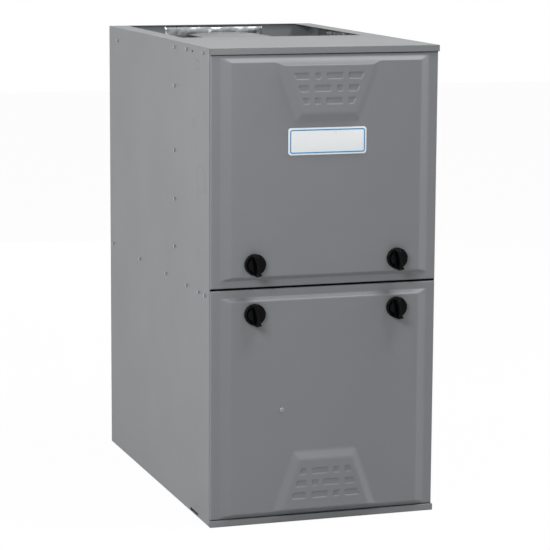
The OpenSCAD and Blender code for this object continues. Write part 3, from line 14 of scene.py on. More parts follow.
import bmesh
import bpy
import numpy as np
from mathutils import Matrix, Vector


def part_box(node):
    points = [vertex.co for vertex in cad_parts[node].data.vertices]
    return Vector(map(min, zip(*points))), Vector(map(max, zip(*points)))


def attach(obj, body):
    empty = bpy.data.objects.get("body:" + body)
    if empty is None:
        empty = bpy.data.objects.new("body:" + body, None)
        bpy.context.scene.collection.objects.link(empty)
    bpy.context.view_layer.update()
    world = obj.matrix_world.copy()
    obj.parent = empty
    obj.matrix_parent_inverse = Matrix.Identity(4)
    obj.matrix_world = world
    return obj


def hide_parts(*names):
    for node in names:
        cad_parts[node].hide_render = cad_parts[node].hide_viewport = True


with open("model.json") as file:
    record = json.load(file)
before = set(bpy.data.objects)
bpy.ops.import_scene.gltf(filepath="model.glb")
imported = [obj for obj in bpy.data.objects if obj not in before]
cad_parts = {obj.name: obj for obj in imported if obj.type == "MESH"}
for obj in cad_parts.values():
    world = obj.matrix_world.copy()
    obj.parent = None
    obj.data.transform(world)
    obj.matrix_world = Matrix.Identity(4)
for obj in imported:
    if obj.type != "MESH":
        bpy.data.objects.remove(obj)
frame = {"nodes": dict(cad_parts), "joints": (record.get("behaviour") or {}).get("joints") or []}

MM = 0.001
LOG = logging.getLogger("furnace")
# Vertices of a CAD mesh, and of a new piece, that are nearer than this become one.
WELD_MM = 0.001
MERGE_MM = 0.002
DEGENERATE_M = 1e-7
# CAD faces that differ by less than this angle are one flat face.
FLAT_DEG = 1.0
# How near an edge lies to a lap's height, and how long a punched hole's edges are at most.
LAP_MM = 0.3
HOLE_EDGE_MM = 6.0
# A face is upright when its normal's Z is less than this.
UPRIGHT = 0.2
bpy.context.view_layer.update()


# ---------- colour and nodes


def linear(code: str) -> tuple[float, float, float, float]:
    """Turns an sRGB hex code into a linear colour.

    Args:
        code: Six hex digits after a hash, such as "#8f9091".

    Returns:
        Red, green, blue and alpha, each from 0 to 1.
    """
    parts = [int(code[i:i + 2], 16) / 255 for i in (1, 3, 5)]
    lin = [c / 12.92 if c <= 0.04045 else ((c + 0.055) / 1.055) ** 2.4 for c in parts]
    return (lin[0], lin[1], lin[2], 1.0)


def add(tree: bpy.types.NodeTree, kind: str, settings: Optional[dict] = None,
        values: Optional[dict] = None, links: Optional[dict] = None) -> bpy.types.Node:
    """Adds one node with its settings, socket values and incoming links.

    Args:
        tree: The node tree that gets the node.
        kind: The node's type name.
        settings: Attributes of the node.
        values: Constants by input socket, by name or index.
        links: Source sockets by input socket, by name or index.

    Returns:
        The new node.
    """
    node = tree.nodes.new(kind)
    for key, value in (settings or {}).items():
        setattr(node, key, value)
    for key, value in (values or {}).items():
        node.inputs[key].default_value = value
    for key, source in (links or {}).items():
        tree.links.new(source, node.inputs[key])
    return node


def stand(name: str, data: bpy.types.ID) -> bpy.types.Object:
    """Puts a new object in the scene.

    Args:
        name: Its name.
        data: Its mesh, lamp or camera.

    Returns:
        The object.
    """
    made = bpy.data.objects.new(name, data)
    bpy.context.scene.collection.objects.link(made)
    return made


@dataclass(frozen=True)
class Finish:
    """A finish of the furnace, with what its surface shows.

    Attributes:
        name: Name of the real material.
        colour: sRGB hex of the surface.
        shade: sRGB hex of its second tone, for blotches, spangle or wear.
        roughness: Mean roughness.
        roughness_swing: How far the roughness moves with the pattern.
        metallic: 1 for bare metal.
        ior: Index of refraction; metals keep the default.
        grain_mm: Size of the fine surface grain.
        blotch_mm: Size of the broad variation.
        bump_mm: Height of the grain.
        gloss: Specular level, 0.5 for a bare dielectric of the index given.
    """

    name: str
    colour: str
    shade: str
    roughness: float
    roughness_swing: float = 0.05
    metallic: float = 0.0
    ior: float = 1.5
    grain_mm: float = 1.0
    blotch_mm: float = 60.0
    bump_mm: float = 0.01
    gloss: float = 0.5

    def pattern(self, tree: bpy.types.NodeTree, place: bpy.types.NodeSocket) -> dict:
        """Adds this finish's pattern nodes.

        Args:
            tree: The material's tree.
            place: Object coordinates, in metres.

        Returns:
            Sockets "tone" (0 to 1, for the colour), "rough" (0 to 1) and "height" (0 to 1).
        """
        broad = add(tree, "ShaderNodeTexNoise", values={"Scale": 1000 / self.blotch_mm,
                    "Detail": 3.0, "Roughness": 0.5}, links={"Vector": place})
        fine = add(tree, "ShaderNodeTexNoise", values={"Scale": 1000 / self.grain_mm,
                   "Detail": 2.0, "Roughness": 0.6}, links={"Vector": place})
        return {"tone": broad.outputs[0], "rough": broad.outputs[0], "height": fine.outputs[0]}

    def material(self) -> bpy.types.Material:
        """Builds the material once and finds it from then on.

        Returns:
            The material.
        """
        found = bpy.data.materials.get(self.name)
        if found:
            return found
        made = bpy.data.materials.new(self.name)
        made.use_nodes = True
        tree = made.node_tree
        shader = tree.nodes["Principled BSDF"]
        place = add(tree, "ShaderNodeTexCoord").outputs["Object"]
        parts = self.pattern(tree, place)
        mix = add(tree, "ShaderNodeMix", {"data_type": "RGBA"},
                  {6: linear(self.colour), 7: linear(self.shade)}, {"Factor": parts["tone"]})
        tree.links.new(mix.outputs[2], shader.inputs["Base Color"])
        low = self.roughness - self.roughness_swing
        high = self.roughness + self.roughness_swing
        rough = add(tree, "ShaderNodeMapRange", values={"To Min": low, "To Max": high},
                    links={"Value": parts["rough"]})
        tree.links.new(rough.outputs[0], shader.inputs["Roughness"])
        bump = add(tree, "ShaderNodeBump", values={"Strength": 1.0,
                   "Distance": self.bump_mm * MM}, links={"Height": parts["height"]})
        tree.links.new(bump.outputs[0], shader.inputs["Normal"])
        shader.inputs["Metallic"].default_value = self.metallic
        shader.inputs["IOR"].default_value = self.ior
        shader.inputs["Specular IOR Level"].default_value = self.gloss
        self.extras(shader)
        return made

    def extras(self, shader: bpy.types.Node) -> None:
        """Sets what only this kind of finish needs."""


@dataclass(frozen=True)
class SpangledSteel(Finish):
    """Hot-dipped sheet: zinc crystals of a few millimetres, each with its own tone and gloss."""

    spangle_mm: float = 9.0

    def pattern(self, tree: bpy.types.NodeTree, place: bpy.types.NodeSocket) -> dict:
        """Adds crystal cells for tone and roughness, and fine grain for the bump.

        Args:
            tree: The material's tree.
            place: Object coordinates, in metres.

        Returns:
            The same sockets as a plain finish.
        """
        cells = add(tree, "ShaderNodeTexVoronoi", values={"Scale": 1000 / self.spangle_mm},
                    links={"Vector": place})
        tone = add(tree, "ShaderNodeSeparateColor", links={0: cells.outputs["Color"]})
        fine = add(tree, "ShaderNodeTexNoise", values={"Scale": 1000 / self.grain_mm,
                   "Detail": 2.0}, links={"Vector": place})
        return {"tone": tone.outputs[0], "rough": tone.outputs[1], "height": fine.outputs[0]}


@dataclass(frozen=True)
class DrawnStock(Finish):
    """Drawn tube or rolled bar: fine streaks that run along the rear direction."""

    stretch: float = 0.08

    def pattern(self, tree: bpy.types.NodeTree, place: bpy.types.NodeSocket) -> dict:
        """Adds noise stretched along Y.

        Args:
            tree: The material's tree.
            place: Object coordinates, in metres.

        Returns:
            The same sockets as a plain finish.
        """
        stretch = add(tree, "ShaderNodeMapping", values={"Scale": (1.0, self.stretch, 1.0)},
                      links={"Vector": place})
        streak = add(tree, "ShaderNodeTexNoise", values={"Scale": 1000 / self.grain_mm,
                     "Detail": 3.0}, links={"Vector": stretch.outputs[0]})
        broad = add(tree, "ShaderNodeTexNoise", values={"Scale": 1000 / self.blotch_mm,
                    "Detail": 2.0}, links={"Vector": place})
        return {"tone": broad.outputs[0], "rough": streak.outputs[0],
                "height": streak.outputs[0]}


@dataclass(frozen=True)
class ClearMoulding(Finish):
    """Clear moulded plastic: mostly transmitted light."""

    clear: float = 0.7

    def extras(self, shader: bpy.types.Node) -> None:
        """Lets light through."""
        shader.inputs["Transmission Weight"].default_value = self.clear


class Finishes:
    """Every finish on the furnace, by the real material's name."""

    # Satin polyester paint, baked on the coil: an even grey with a faint orange peel.
    CASING = Finish("coil_coated_grey_steel", "#888a8c", "#838587", 0.42, 0.03, grain_mm=1.4,
                    blotch_mm=150, bump_mm=0.008, gloss=0.2)
    # The doors are painted after pressing, in the casing's paint; their colour is set a shade
    # darker as painted shade for the front's lower light, with a livelier sheen on each bevel.
    DOOR_WITH_PAINTED_SHADE = Finish("pressed_steel_paint_with_painted_shade", "#85878a", "#808285", 0.4, 0.03, grain_mm=1.2,
                  blotch_mm=120, bump_mm=0.008, gloss=0.3)
    # The casing's inner side has a thin backer coat, which looks chalky; its colour is set lighter
    # than that coat as painted light for the inside of the cavity.
    BACKER_AND_PAINTED_LIGHT = Finish("backer_coat_and_painted_light", "#b6b8ba", "#adafb1", 0.55, 0.05, grain_mm=1.2,
                    blotch_mm=90, bump_mm=0.01, gloss=0.2)
    # Hot-dip galvanised sheet shows zinc crystals, some bright and some dull.
    GALVANISED = SpangledSteel("galvanised_sheet_steel", "#b4b7b9", "#989b9e", 0.42, 0.12,
                               metallic=1.0, grain_mm=0.8, bump_mm=0.01)
    # Aluminised tube is duller and warmer, with drawing streaks.
    ALUMINISED = DrawnStock("aluminised_tube_steel", "#b3b2ae", "#8f8f8c", 0.46, 0.12,
                            metallic=1.0, grain_mm=1.2, blotch_mm=35, bump_mm=0.02)
    # Zinc-plated screw heads catch a small, cool glint.
    ZINC = Finish("zinc_plated_screw_steel", "#b9bcc0", "#9fa3a8", 0.3, 0.06, metallic=1.0,
                  grain_mm=0.5, blotch_mm=4, bump_mm=0.004)
    # Foil facing is thin rolled aluminium, bright where it is not creased.
    FOIL = Finish("aluminium_foil_facing", "#acaeb0", "#838588", 0.33, 0.07, metallic=1.0,
                  grain_mm=2.5, blotch_mm=12, bump_mm=0.2)
    # Die-cast aluminium is matt and slightly pitted by the mould.
    CAST = Finish("die_cast_aluminium", "#a9abad", "#939597", 0.5, 0.06, metallic=1.0,
                  grain_mm=0.7, blotch_mm=20, bump_mm=0.03)
    # Gloss-moulded nylon: near black, with sharp highlights.
    KNOB = Finish("gloss_moulded_nylon", "#030304", "#060607", 0.12, 0.02, ior=1.52,
                  grain_mm=0.8, blotch_mm=20, bump_mm=0.002, gloss=0.08)
    # Textured plastic scatters its highlight into a soft dark grey.
    BLACK = Finish("textured_black_plastic", "#1d1d1f", "#232326", 0.55, grain_mm=0.9,
                   blotch_mm=30, bump_mm=0.03)
    # Baked enamel on motors and the manifold: dark, smooth and half glossy.
    ENAMEL = Finish("black_baked_enamel", "#161618", "#1c1c1f", 0.32, grain_mm=1.2,
                    blotch_mm=40)
    # The printed plate is a clean white with a satin film over it.
    WHITE = Finish("white_printed_plate", "#f7f9fa", "#f2f5f7", 0.28, 0.03, grain_mm=0.8,
                   blotch_mm=40, bump_mm=0.001)
    # The printed line is a flat, saturated cyan under the same film.
    CYAN = Finish("cyan_printed_line", "#0398d8", "#0594d2", 0.3, 0.03, grain_mm=0.8,
                  blotch_mm=40, bump_mm=0.001)
    # Red moulded plastic marks what a hand may set.
    RED = Finish("red_moulded_plastic", "#b3180f", "#a5140c", 0.3, 0.04, grain_mm=0.8,
                 blotch_mm=10, bump_mm=0.004)
    # A near-black, matt strip in the gap between the doors: painted shade standing in for the
    # gap's deep shadow.
    GAP_SHADE = Finish("painted_gap_shade_black", "#060606", "#0a0a0a", 0.9, 0.04, ior=1.45,
                  grain_mm=0.5, blotch_mm=8, bump_mm=0.05, gloss=0.1)
    # Hose rubber and cable jacket: matt, with a dusty bloom.
    RUBBER = Finish("black_hose_rubber", "#191919", "#202020", 0.7, grain_mm=0.6,
                    blotch_mm=15, bump_mm=0.02)
    # Solder mask lets the copper below darken it in patches.
    BOARD = Finish("green_solder_mask", "#1d6a3c", "#18603a", 0.35, ior=1.55, grain_mm=0.8,
                   blotch_mm=8)
    # Fired steatite is cream and dense, with a waxy surface.
    CERAMIC = Finish("steatite_ceramic", "#e6e1d3", "#dcd6c6", 0.4, ior=1.6, grain_mm=0.6,
                     blotch_mm=6)
    # The acrylic lens is clear, with one hard glint.
    LENS = ClearMoulding("clear_acrylic_lens", "#e8ecee", "#e0e4e6", 0.08, 0.02, ior=1.49,
                         grain_mm=0.8, blotch_mm=4, bump_mm=0.001)


# ---------- surfaces


def ramp(t: np.ndarray, soft: float = 0.2) -> np.ndarray:
    """A straight ramp from 0 at t = 0 to 1 at t = 1, with parabolic ends.

    Args:
        t: Distance along the ramp, as a share of its width.
        soft: Half-width of each parabola.

    Returns:
        Heights from 0 to 1.
    """
    def knee(v: np.ndarray) -> np.ndarray:
        """0 before -soft, v after +soft, and a parabola between."""
        return np.where(v > soft, v, np.where(v < -soft, 0.0, (v + soft) ** 2 / (4 * soft)))
    return knee(t) - knee(t - 1)


def blend_min(a: np.ndarray, b: np.ndarray, soft: float = 0.12) -> np.ndarray:
    """The lesser of two heights, with a parabola across the line where they are equal.

    Args:
        a: One height.
        b: The other.
        soft: Difference at which the parabola ends.

    Returns:
        The blended heights, none of them below 0.
    """
    share = np.clip(0.5 + 0.5 * (b - a) / soft, 0, 1)
    return np.maximum(b + (a - b) * share - soft * share * (1 - share), 0)


def mesh_piece(name: str, verts: np.ndarray, faces: Sequence[np.ndarray], body: str,
               finish: Finish, replaces: Sequence[str] = (),
               crease_deg: float = 35.0) -> bpy.types.Object:
    """Makes a piece from vertices in millimetres and faces, and gives it its body and finish.

    Args:
        name: Name of the piece.
        verts: N by 3 array, in millimetres.
        faces: Arrays of quads or triangles, as vertex numbers.
        body: The CAD body that it rides on.
        finish: Its finish.
        replaces: CAD nodes that it stands for.
        crease_deg: Edges sharper than this stay sharp.

    Returns:
        The finished object.
    """
    mesh = bpy.data.meshes.new(name)
    polys = [f for group in faces for f in group.tolist()]
    mesh.from_pydata((verts * MM).tolist(), [], polys)
    work = bmesh.new()
    work.from_mesh(mesh)
    bmesh.ops.remove_doubles(work, verts=work.verts, dist=MERGE_MM * MM)
    bmesh.ops.dissolve_degenerate(work, edges=work.edges, dist=DEGENERATE_M)
    bmesh.ops.recalc_face_normals(work, faces=work.faces)
    work.to_mesh(mesh)
    work.free()
    mesh.shade_smooth()
    mesh.set_sharp_from_angle(angle=math.radians(crease_deg))
    return fit_piece(stand(name, mesh), body, finish, replaces)


def fit_piece(piece: bpy.types.Object, body: str, finish: Finish,
              replaces: Sequence[str] = ()) -> bpy.types.Object:
    """Gives a piece its material and body, and hides the nodes that it stands for.

    Args:
        piece: The piece.
        body: The CAD body that it rides on.
        finish: Its finish.
        replaces: CAD nodes that it stands for.

    Returns:
        The same piece.
    """
    piece.data.materials.clear()
    piece.data.materials.append(finish.material())
    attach(piece, body)
    if replaces:
        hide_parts(*replaces)
    LOG.info("made %s on %s in %s", piece.name, body, finish.name)
    return piece


def grid_faces(rows: int, cols: int, close_rows: bool = False, close_cols: bool = False,
               start: int = 0) -> np.ndarray:
    """Quads of a grid of vertices that are numbered row by row.

    Args:
        rows: Number of rows.
        cols: Vertices in a row.
        close_rows: Whether the last row joins the first.
        close_cols: Whether each row's end joins its start.
        start: Number of the first vertex.

    Returns:
        N by 4 array of vertex numbers.
    """
    r = np.arange(rows if close_rows else rows - 1)
    c = np.arange(cols if close_cols else cols - 1)
    rr, cc = np.meshgrid(r, c, indexing="ij")
    r1, c1 = (rr + 1) % rows, (cc + 1) % cols
    quads = np.stack([rr * cols + cc, r1 * cols + cc, r1 * cols + c1, rr * cols + c1], -1)
    return quads.reshape(-1, 4) + start


def two_skins(front: np.ndarray, back: np.ndarray) -> tuple[np.ndarray, list[np.ndarray]]:
    """Closes two grids of points, one behind the other, into a sheet.

    Args:
        front: Rows by columns by 3 array of points.
        back: The same for the other side.

    Returns:
        Vertices and face arrays.
    """
    rows, cols = front.shape[:2]
    count = rows * cols
    number = np.arange(count).reshape(rows, cols)
    ring = np.concatenate([number[:, 0], number[-1, 1:], number[-2::-1, -1],
                           number[0, -2:0:-1]])
    after = np.roll(ring, -1)
    wall = np.stack([ring, after, after + count, ring + count], -1)
    verts = np.vstack([front.reshape(-1, 3), back.reshape(-1, 3)])
    return verts, [grid_faces(rows, cols), grid_faces(rows, cols, start=count)[:, ::-1], wall]


def revolve(profile: np.ndarray, centre: Sequence[float],
            sides: int) -> tuple[np.ndarray, list[np.ndarray]]:
    """Turns a profile of (radius, distance along the axis) pairs about the Y direction.

    Args:
        profile: N by 2 array; its ends lie on the axis or meet each other.
        centre: Point on the axis, in millimetres.
        sides: Number of steps round.

    Returns:
        Vertices and face arrays.
    """
    a = np.linspace(0, 2 * np.pi, sides, endpoint=False)
    r, d = profile[:, 0][:, None], profile[:, 1][:, None]
    verts = np.stack((r * np.sin(a), d + 0 * a, r * np.cos(a)), -1).reshape(-1, 3)
    return verts + np.array(centre), [grid_faces(len(profile), sides, close_cols=True)]


def stack_outlines(outlines: Sequence[np.ndarray], depths: Sequence[float], cx: float,
                   cz: float) -> np.ndarray:
    """Sets outlines one behind the other along Y.

    Args:
        outlines: N by 2 arrays of X and Z about the middle.
        depths: Y of each outline.
        cx: X of the middle.
        cz: Z of the middle.

    Returns:
        Vertices, outline by outline.
    """
    return np.vstack([np.column_stack([cx + line[:, 0], np.full(len(line), y),
                                       cz + line[:, 1]]) for line, y in zip(outlines, depths)])


def box_of(node: str) -> tuple[np.ndarray, np.ndarray]:
    """Finds a CAD node's box.

    Args:
        node: The node's name.

    Returns:
        Its lowest and highest corner, in millimetres.
    """
    low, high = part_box(node)
    return np.array(low) / MM, np.array(high) / MM


def softened(node: str, body: str, slot: str, finish: Finish, fold_mm: float,
             inside: Optional[Finish] = None, lap_mm: float = -1.0, share: float = 0.28,
             angle_deg: float = 35.0) -> bpy.types.Object:
    """Replaces a node by a copy with its edges rounded as folding and moulding round them.

    An edge's rounding is a share of the narrower of the two faces that meet in it, where a
    face's width is its area over the edge's length, and at most the fold's own radius.

    Args:
        node: The CAD node.
        body: Its body.
        slot: Its slot; not used.
        finish: Its finish.
        fold_mm: Radius of a fold between two wide faces.
        inside: Finish of the upright faces that look towards the node's middle.
        lap_mm: Height at which another sheet lies on this one; edges there stay sharp, and
            so do the short edges of its punched holes.
        share: Rounding of a narrow edge, as a share of its width.
        angle_deg: Edges sharper than this are rounded.

    Returns:
        The copy.
    """
    mesh = frame["nodes"][node].data.copy()
    work = bmesh.new()
    work.from_mesh(mesh)
    bmesh.ops.remove_doubles(work, verts=work.verts, dist=WELD_MM * MM)
    bmesh.ops.dissolve_limit(work, angle_limit=math.radians(FLAT_DEG), verts=work.verts,
                             edges=work.edges)
    bmesh.ops.triangulate(work, faces=work.faces)
    weight = work.edges.layers.float.new("bevel_weight_edge")
    for edge in work.edges:
        if edge.is_manifold and edge.calc_face_angle() > math.radians(angle_deg):
            narrow = min(face.calc_area() for face in edge.link_faces) / edge.calc_length()
            lapped = all(abs(vert.co.z / MM - lap_mm) < LAP_MM for vert in edge.verts)
            punched = lap_mm > 0 and edge.calc_length() < HOLE_EDGE_MM * MM
            weighs = min(1.0, share * narrow / (fold_mm * MM))
            edge[weight] = 0.0 if lapped or punched else weighs
        elif not edge.is_manifold:
            edge.smooth = False
    middle = box_of(node)[0] * MM / 2 + box_of(node)[1] * MM / 2
    for face in work.faces:
        inward = float(np.dot(face.normal, middle - np.array(face.calc_center_median())))
        if inside and abs(face.normal.z) < UPRIGHT and inward > 0:
            face.material_index = 1
    work.to_mesh(mesh)
    work.free()
    mesh.shade_smooth()
    piece = stand(node + "_sheet", mesh)
    soft = piece.modifiers.new("folded_edges", "BEVEL")
    soft.width = fold_mm * MM
    soft.segments = 3
    soft.limit_method = "WEIGHT"
    soft.use_clamp_overlap = False
    flat = piece.modifiers.new("flat_faces", "WEIGHTED_NORMAL")
    flat.weight = 100
    flat.keep_sharp = True
    fit_piece(piece, body, finish, [node])
    if inside:
        piece.data.materials.append(inside.material())
    return piece


# ---------- doors


class DoorEnd(Enum):
    """Which way a door's trapezoid points."""

    UP = "upper_door"
    DOWN = "lower_door"


@dataclass
class Door:
    """A pressed door: rim, bevelled field, raised trapezoid and three rows of brick recesses.

    Local X is across the door and local S runs from its outer end, where the trapezoid is, to
    the end where the doors meet. The upper door is the lower door turned half round.

    Attributes:
        stand: How far the rim stands ahead of the casing's front.
        back: How far the door's back edge stays ahead of the casing's front.
        skin: Thickness of the sheet.
        rim_side, rim_outer, rim_inner: Widths of the flat rim.
        bevel_side, bevel_outer, bevel_inner: Widths of the ramps up to the field.
        hollow: Power of the outer end's sweep; above 1 it is hollow.
        crest: Height over which the sweep runs into the field; the fields in _soft and
            trap_blend round a ramp's ends in the same way, as shares of it.
        trap_tip: How far the trapezoid reaches; trap_wide and trap_short are its half-widths.
        brick_z0, brick_pitch: Start of the first row of recesses, and from row to row.
        brick_end, brick_lean: Where the outer recesses are cut off, and how it leans.
        fine_step: Grid step over the recesses.
        seam_step: Distance between the two grid lines at the flange's corner.
    """

    end: DoorEnd
    finish: Finish
    stand: float = 5.0
    back: float = 0.3
    skin: float = 1.2
    rim_side: float = 17.5
    rim_outer: float = 1.5
    rim_inner: float = 14.0
    bevel_side: float = 20.0
    bevel_outer: float = 12.0
    bevel_inner: float = 7.0
    field_raise: float = 9.0
    trap_raise: float = 9.0
    trap_tip: float = 122.5
    trap_wide: float = 102.0
    trap_short: float = 61.5
    trap_bevel: float = 15.5
    hollow: float = 1.6
    crest: float = 1.2
    side_soft: float = 0.1
    trap_soft: float = 0.22
    trap_blend: float = 0.25
    wall_soft: float = 0.3
    brick_z0: float = 33.0
    brick_h: float = 12.0
    brick_pitch: float = 23.0
    brick_short: float = 12.0
    brick_long: float = 32.5
    brick_rib: float = 10.5
    brick_depth: float = 1.8
    brick_corner: float = 2.6
    brick_wall: float = 1.1
    brick_end: float = 30.5
    brick_lean: float = 0.348
    edge_round: float = 2.4
    fine_step: float = 1.05
    seam_step: float = 0.01

    def lines(self, half_w: float, height: float) -> tuple[np.ndarray, np.ndarray]:
        """Grid lines across and along the door, close together where the form turns.

        Each linspace runs from one distance to another, and its last number counts its lines.

        Args:
            half_w: Half the door's width.
            height: The door's height.

        Returns:
            Values of local X and local S.
        """
        r = self.edge_round
        rim = half_w - self.rim_side
        inner = rim - self.bevel_side
        turn = r * (1 - np.sin(np.linspace(0.2, np.pi / 2, 5)))
        half = np.concatenate([
            np.arange(0, 72, self.fine_step), np.linspace(72.5, 108, 22),
            np.linspace(114, inner - 3, 9), np.linspace(inner - 2, inner + 3, 5),
            np.linspace(inner + 6, rim - 3, 5), np.linspace(rim - 1.5, rim + 3, 5),
            np.linspace(rim + 6, half_w - self.skin - r, 3), half_w - turn,
            [half_w - self.skin, half_w - self.skin + self.seam_step]])
        half = np.unique(np.round(half, 3))
        x = np.concatenate([-half[:0:-1], half])
        top = height - self.rim_inner
        s = np.concatenate([
            turn, [self.skin, self.skin - self.seam_step], np.linspace(2.4, 26, 32),
            np.arange(27, 98, self.fine_step), np.linspace(99, 132, 26),
            np.linspace(140, top - 14, 14), np.linspace(top - 10, top + 2, 14),
            np.linspace(top + 5, height - 3.5, 4), height - turn,
            [height - self.skin, height - self.skin + self.seam_step], [0.0, height]])
        return x, np.unique(np.round(s, 3))

    def height_at(self, x: np.ndarray, s: np.ndarray, height: float,
                  half_w: float) -> np.ndarray:
        """How far the pressed face stands ahead of the rim.

        The field is a ramp of the least distance to its four sides, so that its corners are
        mitred. The trapezoid adds a second rise in the same way. At the outer end one hollow
        sweep, a power of the distance, cuts through both, and each recess takes away a ramp of
        the distance inside its rounded outline.

        Args:
            x: Local X, as a grid.
            s: Local S, as a grid.
            height: The door's height.
            half_w: Half the door's width.

        Returns:
            Heights in millimetres, as a grid.
        """
        side = (half_w - self.rim_side - np.abs(x)) / self.bevel_side
        near = (height - self.rim_inner - s) / self.bevel_inner
        rise = self.field_raise * blend_min(ramp(side, self.side_soft), ramp(near))
        foot = self.rim_outer + self.bevel_outer
        share = (s - foot) / (self.trap_tip - foot)
        half = self.trap_wide + (self.trap_short - self.trap_wide) * share
        flank = ramp((half - np.abs(x)) / self.trap_bevel, self.trap_soft)
        tip = ramp((self.trap_tip - s) / self.trap_bevel, self.trap_soft)
        rise = rise + self.trap_raise * blend_min(flank, tip, self.trap_blend)
        run = np.maximum((s - self.rim_outer) / self.bevel_outer, 0)
        rise = blend_min(rise, self.field_raise * run ** self.hollow, self.crest)
        return rise - self.brick_depth * self.recess(x, s)

    def recess(self, x: np.ndarray, s: np.ndarray) -> np.ndarray:
        """Sinks twelve bricks in three rows, the outer ones cut off along the trapezoid.

        Args:
            x: Local X, as a grid.
            s: Local S, as a grid.

        Returns:
            The share of the full depth at each point.
        """
        core = self.brick_long + self.brick_rib + self.brick_short
        depth = np.zeros_like(x)
        for row in range(3):
            low = self.brick_z0 + row * self.brick_pitch
            high = low + self.brick_h
            left = self.brick_short if row == 1 else self.brick_long
            slant = (core / 2 + self.brick_rib + self.brick_end
                     - self.brick_lean * (s - self.brick_z0))
            spans = [(-core / 2 + 0 * s, -core / 2 + left + 0 * s),
                     (-core / 2 + left + self.brick_rib + 0 * s, core / 2 + 0 * s),
                     (core / 2 + self.brick_rib + 0 * s, slant),
                     (-slant, -core / 2 - self.brick_rib + 0 * s)]
            for x0, x1 in spans:
                dx = np.maximum(x0 - x, x - x1) + self.brick_corner
                ds = np.maximum(low - s, s - high) + self.brick_corner
                gap = (np.minimum(np.maximum(dx, ds), 0)
                       + np.hypot(np.maximum(dx, 0), np.maximum(ds, 0)) - self.brick_corner)
                depth = np.maximum(depth, ramp(-gap / self.brick_wall, self.wall_soft))
        return depth

    def build(self) -> bpy.types.Object:
        """Builds the door as a front and a back surface joined round the edge.

        Returns:
            The door.
        """
        node = self.end.value
        low, high = box_of(node)
        half_w, height = (high[0] - low[0]) / 2, high[2] - low[2]
        front = high[1] + self.back
        x, s = self.lines(half_w, height)
        gx, gs = np.meshgrid(x, s, indexing="ij")
        rise = self.height_at(gx, gs, height, half_w)
        rim = np.minimum(np.minimum(half_w - np.abs(gx), gs), height - gs)
        near = np.clip(self.edge_round - rim, 0, self.edge_round)
        drop = self.edge_round - np.sqrt(self.edge_round ** 2 - near ** 2)
        face = front - self.stand - rise + drop
        rear = np.where(rim < self.skin - self.seam_step / 10, front - self.back, face + self.skin)
        sign = -1.0 if self.end is DoorEnd.UP else 1.0
        z = high[2] - gs if self.end is DoorEnd.UP else low[2] + gs
        verts, faces = two_skins(np.stack([sign * gx, face, z], -1),
                                 np.stack([sign * gx, rear, z], -1))
        return mesh_piece(node + "_pressing", verts, faces, node, self.finish,
                          [node], crease_deg=50)


# ---------- knobs


